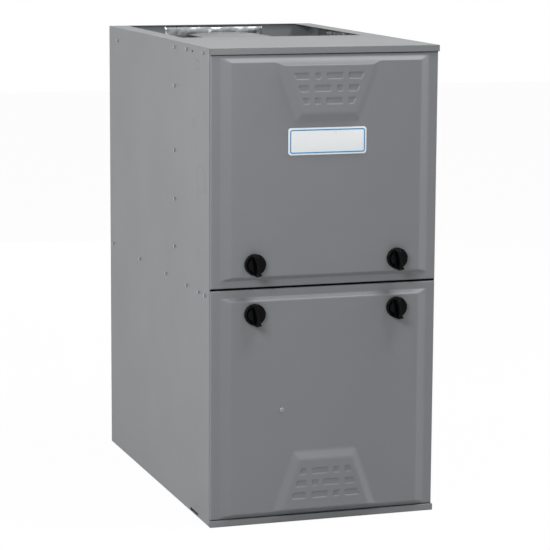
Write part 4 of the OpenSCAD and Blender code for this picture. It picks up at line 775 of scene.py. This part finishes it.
@dataclass
class LatchKnob:
    """A quarter-turn knob: a round skirt with a waisted grip that leans and has a tail.

    Attributes:
        door_front: How far the knob's seat stands ahead of the casing's front.
        skirt_r, skirt_h: The skirt's radius and height; grip_h is the grip's height.
        grip_half, waist_half: Half the grip's width at its ends and at its waist.
        tail: Reach of the tail; tail_half is half its width in radians, and tail_reach where
            it fades, in half-widths.
        dish_depth, dish_width, rim_width: The skirt's fall inside its raised rim.
        grip_slope, top_slope, tail_slope: Widths of the grip's sides and ends.
        crown_dip: How much lower the grip's edges are than its middle.
        ring_power: Crowds the rings towards the edge.
    """

    node: str
    finish: Finish
    door_front: float = 14.3
    skirt_r: float = 20.0
    skirt_h: float = 7.5
    grip_h: float = 22.7
    grip_half: float = 7.4
    waist_half: float = 4.6
    grip_top: float = 19.5
    tail: float = 23.6
    tail_half: float = 0.17
    tail_reach: float = 1.6
    lean_deg: float = 10.0
    dish_depth: float = 1.6
    dish_width: float = 5.0
    rim_width: float = 1.5
    lip_round: float = 1.6
    waist_play: float = 0.4
    grip_slope: float = 2.6
    top_slope: float = 3.0
    tail_slope: float = 3.4
    tail_inset: float = 0.4
    crown_dip: float = 1.2
    side_soft: float = 0.35
    end_soft: float = 0.4
    tail_soft: float = 0.5
    stud_r: float = 5.0
    stud_tip_r: float = 4.2
    stud_tip: float = 0.8
    stud_sink: float = 0.2
    tongue_half_w: float = 4.0
    tongue_half_h: float = 13.0
    tongue_t: float = 3.0
    tongue_round: float = 0.6
    ring_power: float = 0.9
    rings: int = 60
    sides: int = 176
    stud_sides: int = 28

    def outline(self, angle: np.ndarray) -> np.ndarray:
        """Finds the knob's edge: a circle with a tail that stands out at the bottom.

        Args:
            angle: Directions about the axis, in radians.

        Returns:
            The radius in each direction.
        """
        off = np.abs(np.angle(np.exp(1j * (angle + np.pi / 2))))
        bulge = ramp(self.tail_reach - off / self.tail_half, self.tail_soft)
        return self.skirt_r + (self.tail - self.skirt_r) * np.clip(bulge, 0, 1)

    def rise(self, x: np.ndarray, z: np.ndarray, radius: np.ndarray,
             edge: np.ndarray) -> np.ndarray:
        """Height of the face: a dished skirt with a steep-sided grip across it.

        The skirt falls by a ramp of the distance inside the edge, and its lip is a quarter
        circle. The grip is the least of three ramps, of the distances inside its waisted
        sides, its top and its tail, and its crown dips with the square of the distance across.

        Args:
            x: Distance across the grip.
            z: Distance along the grip.
            radius: Distance from the axis.
            edge: Radius of the edge in the same direction.

        Returns:
            Heights over the seat.
        """
        inside = (edge - radius - self.rim_width) / self.dish_width
        base = self.skirt_h - self.dish_depth * ramp(inside, self.end_soft)
        lip = np.clip(self.lip_round - (edge - radius), 0, self.lip_round)
        base = base - (self.lip_round - np.sqrt(np.maximum(self.lip_round ** 2 - lip ** 2, 0)))
        half = self.waist_half + (self.grip_half - self.waist_half) * (z / self.grip_top) ** 2
        side = (np.minimum(half, self.grip_half + self.waist_play) - np.abs(x)) / self.grip_slope
        end_top = (self.grip_top - z) / self.top_slope
        end_low = (z + self.tail - self.tail_inset) / self.tail_slope
        ends = np.minimum(ramp(end_top, self.end_soft), ramp(end_low, self.end_soft))
        bar = np.minimum(ramp(side, self.side_soft), ends)
        crown = self.crown_dip * (x / np.maximum(half, 1.0)) ** 2 * (np.abs(x) < half)
        return base + (self.grip_h - self.skirt_h - crown) * bar

    def build(self) -> bpy.types.Object:
        """Builds the knob as a height over polar rings, with a flat back.

        Returns:
            The knob's moulding.
        """
        cx, _, cz = self.axis()
        seat = box_of("casing_wrap")[0][1] - self.door_front
        angle = np.linspace(0, 2 * np.pi, self.sides, endpoint=False)
        edge = self.outline(angle)
        share = np.sin(np.linspace(0, np.pi / 2, self.rings)) ** self.ring_power
        radius = share[:, None] * edge[None, :]
        u, v = radius * np.cos(angle), radius * np.sin(angle)
        height = self.rise(u, v, radius, edge[None, :] + 0 * radius)
        lean = math.radians(self.lean_deg)
        x = cx + u * math.cos(lean) - v * math.sin(lean)
        z = cz + u * math.sin(lean) + v * math.cos(lean)
        front = np.stack([x, seat - height, z], -1).reshape(-1, 3)
        rim = front[-self.sides:].copy()
        rim[:, 1] = seat
        centre = np.array([[cx, seat, cz]])
        verts = np.vstack([front, rim, centre])
        last = (self.rings - 1) * self.sides
        k = np.arange(self.sides)
        k1 = (k + 1) % self.sides
        wall = np.stack([last + k, last + k1, last + self.sides + k1, last + self.sides + k], -1)
        hub = np.full(self.sides, len(verts) - 1)
        back = np.stack([last + self.sides + k, last + self.sides + k1, hub], -1)
        faces = [grid_faces(self.rings, self.sides, close_cols=True), wall, back]
        knob = mesh_piece(self.node + "_moulding", verts, faces, self.node,
                          self.finish, [self.node], crease_deg=60)
        self.stud(cx, cz, seat)
        return knob

    def axis(self) -> list[float]:
        """A point on the knob's axis, from the joint that turns it."""
        place = next(j["pos_m"] for j in frame["joints"] if j["child"] == self.node)
        return [value / MM for value in place]

    def stud(self, cx: float, cz: float, seat: float) -> None:
        """Adds the stud through the door and the tongue behind the rail.

        Args:
            cx: X of the knob's axis.
            cz: Z of the knob's axis.
            seat: Y of the knob's flat back.
        """
        end = box_of(self.node)[1][1]
        length = end - seat
        profile = np.array([[0, self.stud_sink], [self.stud_r, self.stud_sink],
                            [self.stud_r, length - self.stud_tip], [self.stud_tip_r, length],
                            [0, length]])
        verts, faces = revolve(profile, (cx, seat, cz), self.stud_sides)
        mesh_piece(self.node + "_stud", verts, faces, self.node, self.finish)
        w, h = self.tongue_half_w, self.tongue_half_h
        tongue = np.array([[-w, -h], [w, -h], [w, h], [-w, h]])
        verts = stack_outlines((tongue, tongue), (end - self.tongue_t, end), cx, cz)
        k = np.arange(4)
        sides = np.stack([k, (k + 1) % 4, (k + 1) % 4 + 4, k + 4], -1)
        ends = np.array([[0, 1, 2, 3], [7, 6, 5, 4]])
        piece = mesh_piece(self.node + "_tongue", verts, [sides, ends], self.node,
                           self.finish)
        soft = piece.modifiers.new("moulded_edges", "BEVEL")
        soft.width = self.tongue_round * MM
        soft.segments = 2


# ---------- painted shade in the door gap


@dataclass
class GapShadeStrips:
    """Near-black strips on the centre rail and the casing's folds: painted shade that draws the
    gap's deep shadow as the black line between the doors.
    """

    front_fold: float = 18.0
    thick: float = 0.22
    side_clear: float = 0.3
    door_clear: float = 0.25
    corner: float = 0.1
    stations: int = 12

    def strip(self, name: str, x0: float, x1: float, back: float, front: float) -> None:
        """Carries the strip's round-cornered section from x0 to x1.

        Args:
            name: Name of the strip.
            x0: Its left end.
            x1: Its right end.
            back: Y of the face that it sticks to.
            front: Y of its own face.
        """
        bottom = box_of("lower_door")[1][2] + self.door_clear
        top = box_of("upper_door")[0][2] - self.door_clear
        section = np.array([[back, bottom], [front + self.corner, bottom],
                            [front, bottom + self.corner], [front, top - self.corner],
                            [front + self.corner, top], [back, top]])
        x = np.linspace(x0, x1, self.stations)
        ring = np.broadcast_to(section, (len(x),) + section.shape)
        along = np.broadcast_to(x[:, None, None], (len(x), len(section), 1))
        verts = np.concatenate([along, ring], -1).reshape(-1, 3)
        number = np.arange(len(section))
        ends = [number[None, :], number[None, ::-1] + (len(x) - 1) * len(section)]
        mesh_piece(name, verts, [grid_faces(len(x), len(section), close_cols=True)] + ends,
                   "casing", Finishes.GAP_SHADE)

    def build(self) -> None:
        """Lays one strip on the rail and one on each fold."""
        rail_low, rail_high = box_of("center_rail")
        fold_face = box_of("casing_wrap")[0][1]
        door_side = box_of("upper_door")[1][0]
        inner = rail_high[0] - self.front_fold - self.side_clear
        self.strip("painted_gap_shade_rail", -inner, inner, rail_low[1], fold_face)
        for name, sign in (("painted_gap_shade_left", -1), ("painted_gap_shade_right", 1)):
            ends = sorted((sign * (inner + self.side_clear), sign * door_side))
            self.strip(name, ends[0], ends[1], fold_face, fold_face - self.thick)


# ---------- baffle


@dataclass
class AirBaffle:
    """The arched sheet over the middle cells, its front edge drawn down to the cells."""

    sheet: float = 1.5
    crown_drop: float = 11.5
    draw_down: float = 80.0
    rows: int = 48
    cols: int = 40

    def build(self) -> bpy.types.Object:
        """Builds the sheet as a circular arch times a half-cosine rise from its front edge.

        Returns:
            The sheet.
        """
        low, high = box_of("air_baffle")
        x = np.linspace(low[0], high[0], self.cols)
        y = np.linspace(low[1], high[1], self.rows)
        gx, gy = np.meshgrid(x, y, indexing="ij")
        half = (high[0] - low[0]) / 2
        crown = high[2] - low[2] - self.sheet - self.crown_drop
        radius = (half ** 2 + crown ** 2) / (2 * crown)
        off = gx - (low[0] + high[0]) / 2
        arch = np.sqrt(radius ** 2 - off ** 2) - (radius - crown)
        rise = 0.5 - 0.5 * np.cos(np.pi * np.clip((gy - low[1]) / self.draw_down, 0, 1))
        under = low[2] + arch * rise
        verts, faces = two_skins(np.stack([gx, gy, under + self.sheet], -1),
                                 np.stack([gx, gy, under], -1))
        return mesh_piece("air_baffle_sheet", verts, faces, "casing",
                          Finishes.CASING, ["air_baffle"])


# ---------- plates


@dataclass
class BadgePlate:
    """A blank white plate with round corners and a thin printed line inside its edge."""

    corner: float = 5.5
    # Inset of the rounded edge, and how far behind the face it lies there.
    edge: tuple = ((0.0, 0.5), (0.25, 0.12), (0.7, 0.0))
    edge_share: float = 0.5
    line_inset: float = 3.0
    line_w: float = 2.3
    line_corner: float = 4.6
    line_share: float = 0.8
    line_film: float = 0.06
    line_sink: float = 0.02

    @staticmethod
    def rounded(half_w: float, half_h: float, corner: float, steps: int = 9) -> np.ndarray:
        """Draws a rectangle with round corners, anticlockwise from the right.

        Args:
            half_w: Half its width.
            half_h: Half its height.
            corner: Radius of its corners.
            steps: Points on each corner.

        Returns:
            N by 2 array of points.
        """
        a = np.linspace(0, np.pi / 2, steps)
        quarter = np.stack([np.cos(a), np.sin(a)], -1) * corner
        turns = [np.array([[math.cos(t), -math.sin(t)], [math.sin(t), math.cos(t)]])
                 for t in np.arange(4) * np.pi / 2]
        signs = [(1, 1), (-1, 1), (-1, -1), (1, -1)]
        return np.vstack([quarter @ turn.T + [sx * (half_w - corner), sy * (half_h - corner)]
                          for turn, (sx, sy) in zip(turns, signs)])

    def build(self) -> None:
        """Builds the plate and its line."""
        low, high = box_of("badge_plate")
        cx, cz = (low[0] + high[0]) / 2, (low[2] + high[2]) / 2
        half_w, half_h = (high[0] - low[0]) / 2, (high[2] - low[2]) / 2
        steps = [(0.0, high[1])] + [(inset, low[1] + depth) for inset, depth in self.edge]
        rings = [self.rounded(half_w - inset, half_h - inset,
                              self.corner - inset * self.edge_share) for inset, _ in steps]
        sides = len(rings[0])
        verts = stack_outlines(rings, [y for _, y in steps], cx, cz)
        caps = [np.arange(sides)[None, ::-1], (len(steps) - 1) * sides
                + np.arange(sides)[None, :]]
        mesh_piece("badge_plate_blank", verts, [grid_faces(len(steps), sides, close_cols=True)]
                   + caps, "upper_door", Finishes.WHITE, ["badge_plate"])
        self.line(cx, cz, half_w, half_h, low[1])

    def line(self, cx: float, cz: float, half_w: float, half_h: float, front: float) -> None:
        """Adds the printed line as a film on the plate.

        Args:
            cx: X of the plate's middle.
            cz: Z of the plate's middle.
            half_w: Half the plate's width.
            half_h: Half the plate's height.
            front: Y of the plate's face.
        """
        near, far = self.line_inset, self.line_inset + self.line_w
        proud, sunk = front - self.line_film, front + self.line_sink
        corners = [(near, sunk), (near, proud), (far, proud), (far, sunk)]
        rings = [self.rounded(half_w - inset, half_h - inset,
                              self.line_corner - (inset - near) * self.line_share)
                 for inset, _ in corners]
        sides = len(rings[0])
        verts = stack_outlines(rings, [y for _, y in corners], cx, cz)
        mesh_piece("badge_plate_line", verts, [grid_faces(len(corners), sides, True, True)],
                   "upper_door", Finishes.CYAN)


@dataclass
class SightGlass:
    """A small lens in a bright ring, through the lower door."""

    ring_w: float = 1.3
    collar: float = 1.1
    shoulder: float = 0.5
    chamfer: float = 0.4
    crown: float = 0.05
    lip: float = 0.2
    dome_h: float = 0.7
    dome_set: float = 0.1
    stem_set: float = 1.2
    sides: int = 40

    def build(self) -> None:
        """Builds the ring and the domed lens."""
        low, high = box_of("sight_glass")
        cx, cz = (low[0] + high[0]) / 2, (low[2] + high[2]) / 2
        r = (high[0] - low[0]) / 2
        front, depth = low[1], high[1] - low[1]
        inner = r - self.ring_w
        ring = np.array([[inner, self.collar], [r, self.collar], [r, self.shoulder],
                         [r - self.chamfer, self.crown], [inner + self.lip, 0.0],
                         [inner, self.shoulder], [inner, self.collar]])
        verts, faces = revolve(ring, (cx, front, cz), self.sides)
        mesh_piece("sight_glass_ring", verts, faces, "lower_door", Finishes.ZINC)
        a = np.linspace(0, np.pi / 2, 7)
        dome = np.column_stack([inner * np.sin(a), self.dome_h * (1 - np.cos(a)) + self.dome_set])
        stem = np.array([[inner, self.stem_set], [inner, depth], [0, depth]])
        verts, faces = revolve(np.vstack([dome, stem]), (cx, front, cz), self.sides)
        mesh_piece("sight_glass_lens", verts, faces, "lower_door",
                   Finishes.LENS, ["sight_glass"])


# ---------- insulation


@dataclass
class FoilLiner:
    """A foil-faced blanket on a wall, creased by handling."""

    node: str
    seed: int
    wall: str
    step: float = 3.2
    folds: int = 26
    fold_least: float = 9.0
    fold_most: float = 70.0
    fold_power: float = 0.7
    bend: float = 0.35
    bend_pitch: float = 0.9
    full_turn: float = 6.28
    mirror: float = 0.9
    flat_lift: float = 0.35
    crease_lift: float = 0.62
    edge_run: float = 9.0
    backing: float = 0.05
    air: float = 0.4
    clear: float = 0.5

    def crease(self, u: np.ndarray, v: np.ndarray) -> np.ndarray:
        """Creases from 0 to 1: triangle waves in many directions, their product folded again.

        Args:
            u: Distance along the wall, in millimetres.
            v: Height, in millimetres.

        Returns:
            The height of the facing, as a share of its thickness.
        """
        draw = np.random.default_rng(self.seed)
        total = np.zeros_like(u)
        weight = 0.0
        for _ in range(self.folds):
            angle = draw.uniform(0, np.pi)
            length = draw.uniform(self.fold_least, self.fold_most)
            across = (u * math.sin(angle) - v * math.cos(angle)) / (length * self.bend_pitch)
            bend = self.bend * np.sin(across + draw.uniform(0, self.full_turn))
            phase = (u * math.cos(angle) + v * math.sin(angle)) / length + bend
            wave = np.abs((phase + draw.uniform(0, 1)) % 1 * 2 - 1)
            size = length ** self.fold_power
            total = total + size * wave
            weight += size
        share = total / weight
        share = (share - share.min()) / (share.max() - share.min())
        return np.abs(share * 2 - self.mirror) / (2 - self.mirror)

    def build(self) -> bpy.types.Object:
        """Builds the facing over a flat back, inside the node's box.

        Returns:
            The facing.
        """
        low, high = box_of(self.node)
        horizontal = 0 if self.wall == "back" else 1
        across = 1 - horizontal
        u = np.arange(low[horizontal], high[horizontal] + 0.1, self.step)
        u = np.linspace(low[horizontal], high[horizontal], len(u) + 1)
        v = np.linspace(low[2], high[2], int((high[2] - low[2]) / self.step) + 1)
        gu, gv = np.meshgrid(u, v, indexing="ij")
        thick = high[across] - low[across]
        edge = np.minimum.reduce([gu - u[0], u[-1] - gu, gv - v[0], v[-1] - gv])
        lift = self.flat_lift + self.crease_lift * self.crease(gu, gv)
        lift = lift * np.clip(edge / self.edge_run, 0, 1) ** 0.5
        inward = -1.0 if self.wall in ("back", "right") else 1.0
        wall = high[across] if inward < 0 else low[across]
        face = wall + inward * (self.air + (thick - self.clear) * lift)
        flat = np.full_like(gu, wall + inward * self.backing)
        skins = []
        for depth in (face, flat):
            grid = np.zeros(gu.shape + (3,))
            grid[..., horizontal], grid[..., across], grid[..., 2] = gu, depth, gv
            skins.append(grid)
        verts, faces = two_skins(*skins)
        return mesh_piece(self.node + "_facing", verts, faces, "casing",
                          Finishes.FOIL, [self.node], crease_deg=24)


# ---------- construction


@dataclass
class Construction:
    """Every node that keeps its CAD shape, with its finish, and the folded sheets.

    Attributes:
        sheet: Thickness of the casing's sheet, in millimetres.
        facet_deg: Edges of a kept node that are sharper than this stay sharp.
        folded: Slot, finish and fold radius of each node that gets rounded edges.
        kept: The nodes that keep their CAD mesh, by finish.
    """

    sheet: float = 1.2
    facet_deg: float = 28.0
    folded: dict[str, tuple[str, Finish, float]] = field(default_factory=lambda: {
        "casing_wrap": ("casing_paint", Finishes.CASING, 2.0),
        "top_front_plate": ("casing_paint", Finishes.CASING, 0.9),
        "base_sill": ("door_paint", Finishes.CASING, 1.0),
        "center_rail": ("casing_paint", Finishes.CASING, 0.4),
        "vestibule_panel": ("galvanised_steel", Finishes.GALVANISED, 0.4),
        "blower_shelf": ("galvanised_steel", Finishes.GALVANISED, 0.4),
        "bottom_closure_panel": ("galvanised_steel", Finishes.GALVANISED, 0.4),
        "coupling_box": ("aluminised_steel", Finishes.ALUMINISED, 1.0),
        "coil_rails": ("galvanised_steel", Finishes.GALVANISED, 0.4),
        "collector_box": ("grey_plastic", Finishes.BLACK, 1.0),
        "burner_box": ("galvanised_steel", Finishes.GALVANISED, 0.4),
        "gas_valve": ("cast_aluminium", Finishes.CAST, 1.2),
        "condensate_trap": ("grey_plastic", Finishes.BLACK, 1.2),
        "junction_box": ("galvanised_steel", Finishes.GALVANISED, 0.4),
        "control_panel": ("galvanised_steel", Finishes.GALVANISED, 0.4),
        "inducer_housing": ("grey_plastic", Finishes.BLACK, 0.8),
        "inducer_motor": ("black_enamel", Finishes.ENAMEL, 1.2),
        "blower_motor": ("black_enamel", Finishes.ENAMEL, 2.0),
        "pressure_switch": ("grey_plastic", Finishes.BLACK, 0.8),
    })
    kept: dict[Finish, tuple[str, ...]] = field(default_factory=lambda: {
        Finishes.ZINC: ("casing_screws", "vestibule_screws", "motor_mount"),
        Finishes.FOIL: ("door_pad",),
        Finishes.ALUMINISED: ("heat_cell_1", "heat_cell_2", "heat_cell_3", "heat_cell_4",
                              "secondary_coil", "burners"),
        Finishes.GALVANISED: ("inducer_wheel", "blower_housing", "blower_wheel"),
        Finishes.BLACK: ("vent_elbow", "rollout_switch", "limit_switch", "door_switch"),
        Finishes.ENAMEL: ("gas_manifold", "transformer"),
        Finishes.RED: ("gas_valve_switch", "rollout_reset_button"),
        Finishes.CERAMIC: ("igniter", "flame_sensor"),
        Finishes.RUBBER: ("pressure_hose", "drain_hose", "wire_harness"),
        Finishes.BOARD: ("control_board",),
        Finishes.CAST: ("capacitor",),
        Finishes.WHITE: ("door_switch_plunger",),
    })

    def build(self) -> None:
        """Softens the folded sheets and dresses the rest."""
        lap = box_of("top_front_plate")[1][2] - self.sheet
        for node, (slot, finish, fold) in self.folded.items():
            # The casing's inner faces take the lightened backer finish: painted light inside the
            # cavity.
            wrap = (Finishes.BACKER_AND_PAINTED_LIGHT, lap) if node == "casing_wrap" else ()
            softened(node, "casing", slot, finish, fold, *wrap)
        for finish, nodes in self.kept.items():
            for node in nodes:
                self.dress(node, finish)

    def dress(self, node: str, finish: Finish) -> None:
        """Gives a kept node its finish and its smooth shading.

        Args:
            node: The CAD node.
            finish: Its finish.
        """
        mesh = frame["nodes"][node].data
        mesh.materials.clear()
        mesh.materials.append(finish.material())
        mesh.shade_smooth()
        mesh.set_sharp_from_angle(angle=math.radians(self.facet_deg))
        LOG.info("dressed %s in %s", node, finish.name)


# ---------- studio


@dataclass
class Studio:
    """Floor, lamps and the camera at the photograph's angle.

    Attributes:
        floor_white: Share of plain white in the floor, as the camera sees it.
        ground_white: Brightness of that white, which clears the lens side's last greys.
        world_level: Light from all round, for every ray that is not seen.
        lamps: Name, place, aim, side in metres and power in watts of each lamp. The top one
            draws the bevels' crests, the left one the side panel, the front one the doors,
            the right one the trapezoids' right flanks, and the rear one the back.
    """

    # Solved from the casing's corner pixels, in millimetres from the casing's front left foot.
    eye: tuple[float, float, float] = (-1220.1, -4039.4, 1170.1)
    yaw_deg: float = 18.442
    pitch_deg: float = 9.343
    roll_deg: float = 0.328
    focal_px: float = 2337.6
    frame_px: float = 550.0
    sensor_mm: float = 36.0
    casing_w: float = 444.5
    world_level: float = 0.15
    floor_white: float = 0.95
    ground_white: float = 1.02
    floor_tone: str = "#cccccc"
    floor_rough: float = 0.9
    floor_reach: float = 9.0
    clip_end: float = 60.0
    lamps: tuple = (("top_softbox", (1.25, -1.05, 3.9), (0, -0.2, 0.6), 1.5, 83),
                    ("left_softbox", (-3.3, 0.55, 1.2), (-0.2, 0, 0.5), 1.2, 33),
                    ("front_softbox", (-1.3, -1.55, 1.5), (-0.1, -0.36, 0.65), 0.8, 21),
                    ("right_softbox", (3.2, -0.34, 1.3), (0, -0.3, 0.6), 0.9, 44),
                    ("rear_softbox", (0.5, 3.2, 0.45), (0, 0.3, 0.45), 0.8, 16))

    def camera(self) -> None:
        """Places the camera from its yaw, pitch and roll."""
        yaw, pitch, roll = (math.radians(a) for a in
                            (self.yaw_deg, self.pitch_deg, self.roll_deg))
        ahead = np.array([math.sin(yaw) * math.cos(pitch), math.cos(yaw) * math.cos(pitch),
                          -math.sin(pitch)])
        right = np.array([math.cos(yaw), -math.sin(yaw), 0.0])
        down = np.cross(ahead, right)
        right2 = math.cos(roll) * right - math.sin(roll) * down
        down2 = math.sin(roll) * right + math.cos(roll) * down
        front = box_of("casing_wrap")[0][1]
        place = (np.array(self.eye) + np.array([-self.casing_w / 2, front, 0])) * MM
        data = bpy.data.cameras.new("photo_camera")
        data.sensor_width = self.sensor_mm
        data.lens = self.focal_px * self.sensor_mm / self.frame_px
        data.clip_end = self.clip_end
        cam = stand("photo_camera", data)
        cam.matrix_world = Matrix([[right2[i], -down2[i], -ahead[i], place[i]]
                                   for i in range(3)] + [[0, 0, 0, 1]])
        bpy.context.scene.camera = cam

    def floor(self) -> None:
        """Makes the pale floor. To the camera it is white, less the object's shadow."""
        reach = self.floor_reach
        corners = [(-reach, -reach, 0), (reach, -reach, 0), (reach, reach, 0),
                   (-reach, reach, 0)]
        mesh = bpy.data.meshes.new("studio_floor")
        mesh.from_pydata(corners, [], [(0, 1, 2, 3)])
        plane = stand("studio_floor", mesh)
        made = bpy.data.materials.new("matt_white_studio_floor")
        made.use_nodes = True
        tree = made.node_tree
        shader = tree.nodes["Principled BSDF"]
        shader.inputs["Base Color"].default_value = linear(self.floor_tone)
        shader.inputs["Roughness"].default_value = self.floor_rough
        out = tree.nodes["Material Output"]
        white = add(tree, "ShaderNodeEmission", values={"Color": (1, 1, 1, 1),
                    "Strength": self.ground_white})
        share = add(tree, "ShaderNodeMath", {"operation": "MULTIPLY", "use_clamp": True},
                    {1: self.floor_white}, {0: self.seen(tree)})
        mix = add(tree, "ShaderNodeMixShader", links={0: share.outputs[0],
                  1: shader.outputs[0], 2: white.outputs[0]})
        tree.links.new(mix.outputs[0], out.inputs[0])
        mesh.materials.append(made)

    def world(self) -> None:
        """Lights from all round at one level, and shows white to the camera."""
        sky = bpy.data.worlds.new("studio_world")
        bpy.context.scene.world = sky
        sky.use_nodes = True
        tree = sky.node_tree
        ground = tree.nodes["Background"]
        ground.inputs["Color"].default_value = (1, 1, 1, 1)
        ground.inputs["Strength"].default_value = self.world_level
        white = add(tree, "ShaderNodeBackground", values={"Color": (1, 1, 1, 1),
                    "Strength": 1.0})
        mix = add(tree, "ShaderNodeMixShader", links={0: self.seen(tree),
                  1: ground.outputs[0], 2: white.outputs[0]})
        tree.links.new(mix.outputs[0], tree.nodes["World Output"].inputs[0])

    @staticmethod
    def seen(tree: bpy.types.NodeTree) -> bpy.types.NodeSocket:
        """Finds out whether a ray is seen.

        Args:
            tree: The tree that asks.

        Returns:
            A socket that is 1 for camera, glossy and transmission rays and 0 for the rest.
        """
        ray = add(tree, "ShaderNodeLightPath").outputs
        direct = add(tree, "ShaderNodeMath", {"operation": "MAXIMUM"},
                     links={0: ray["Is Camera Ray"], 1: ray["Is Glossy Ray"]})
        return add(tree, "ShaderNodeMath", {"operation": "MAXIMUM"},
                   links={0: direct.outputs[0], 1: ray["Is Transmission Ray"]}).outputs[0]

    @staticmethod
    def lamp(name: str, place: Sequence[float], aim: Sequence[float], size: float,
             watts: float) -> None:
        """Adds one square soft lamp.

        Args:
            name: Its name.
            place: Where it hangs, in metres.
            aim: The point that it faces, in metres.
            size: Side of the square, in metres.
            watts: Its power.
        """
        data = bpy.data.lights.new(name, "AREA")
        data.shape = "SQUARE"
        data.size = size
        data.energy = watts
        lamp = stand(name, data)
        back = np.array(place) - np.array(aim)
        back = back / np.linalg.norm(back)
        side = np.cross([0, 0, 1.0], back)
        side = side / np.linalg.norm(side)
        up = np.cross(back, side)
        lamp.matrix_world = Matrix([[side[i], up[i], back[i], place[i]] for i in range(3)]
                                   + [[0, 0, 0, 1]])

    def build(self) -> None:
        """Makes the camera, floor, world and lamps."""
        self.camera()
        self.floor()
        self.world()
        for lamp in self.lamps:
            self.lamp(*lamp)


def main() -> None:
    """Builds the furnace's looks, sub-assembly by sub-assembly."""
    logging.basicConfig(level=logging.INFO, format="%(name)s: %(message)s")
    Studio().build()
    Construction().build()
    for end, bevel_outer in ((DoorEnd.UP, 12.0), (DoorEnd.DOWN, 8.5)):
        Door(end, Finishes.DOOR_WITH_PAINTED_SHADE, bevel_outer=bevel_outer).build()
    for side in ("upper_left", "upper_right", "lower_left", "lower_right"):
        LatchKnob("knob_" + side, Finishes.KNOB).build()
    GapShadeStrips().build()
    AirBaffle().build()
    BadgePlate().build()
    SightGlass().build()
    for node, seed, wall in (("liner_back", 11, "back"), ("liner_left", 12, "left"),
                             ("liner_right", 13, "right")):
        FoilLiner(node, seed, wall).build()
    bpy.context.scene.view_settings.view_transform = "Standard"


if __name__ == "__main__":
    main()
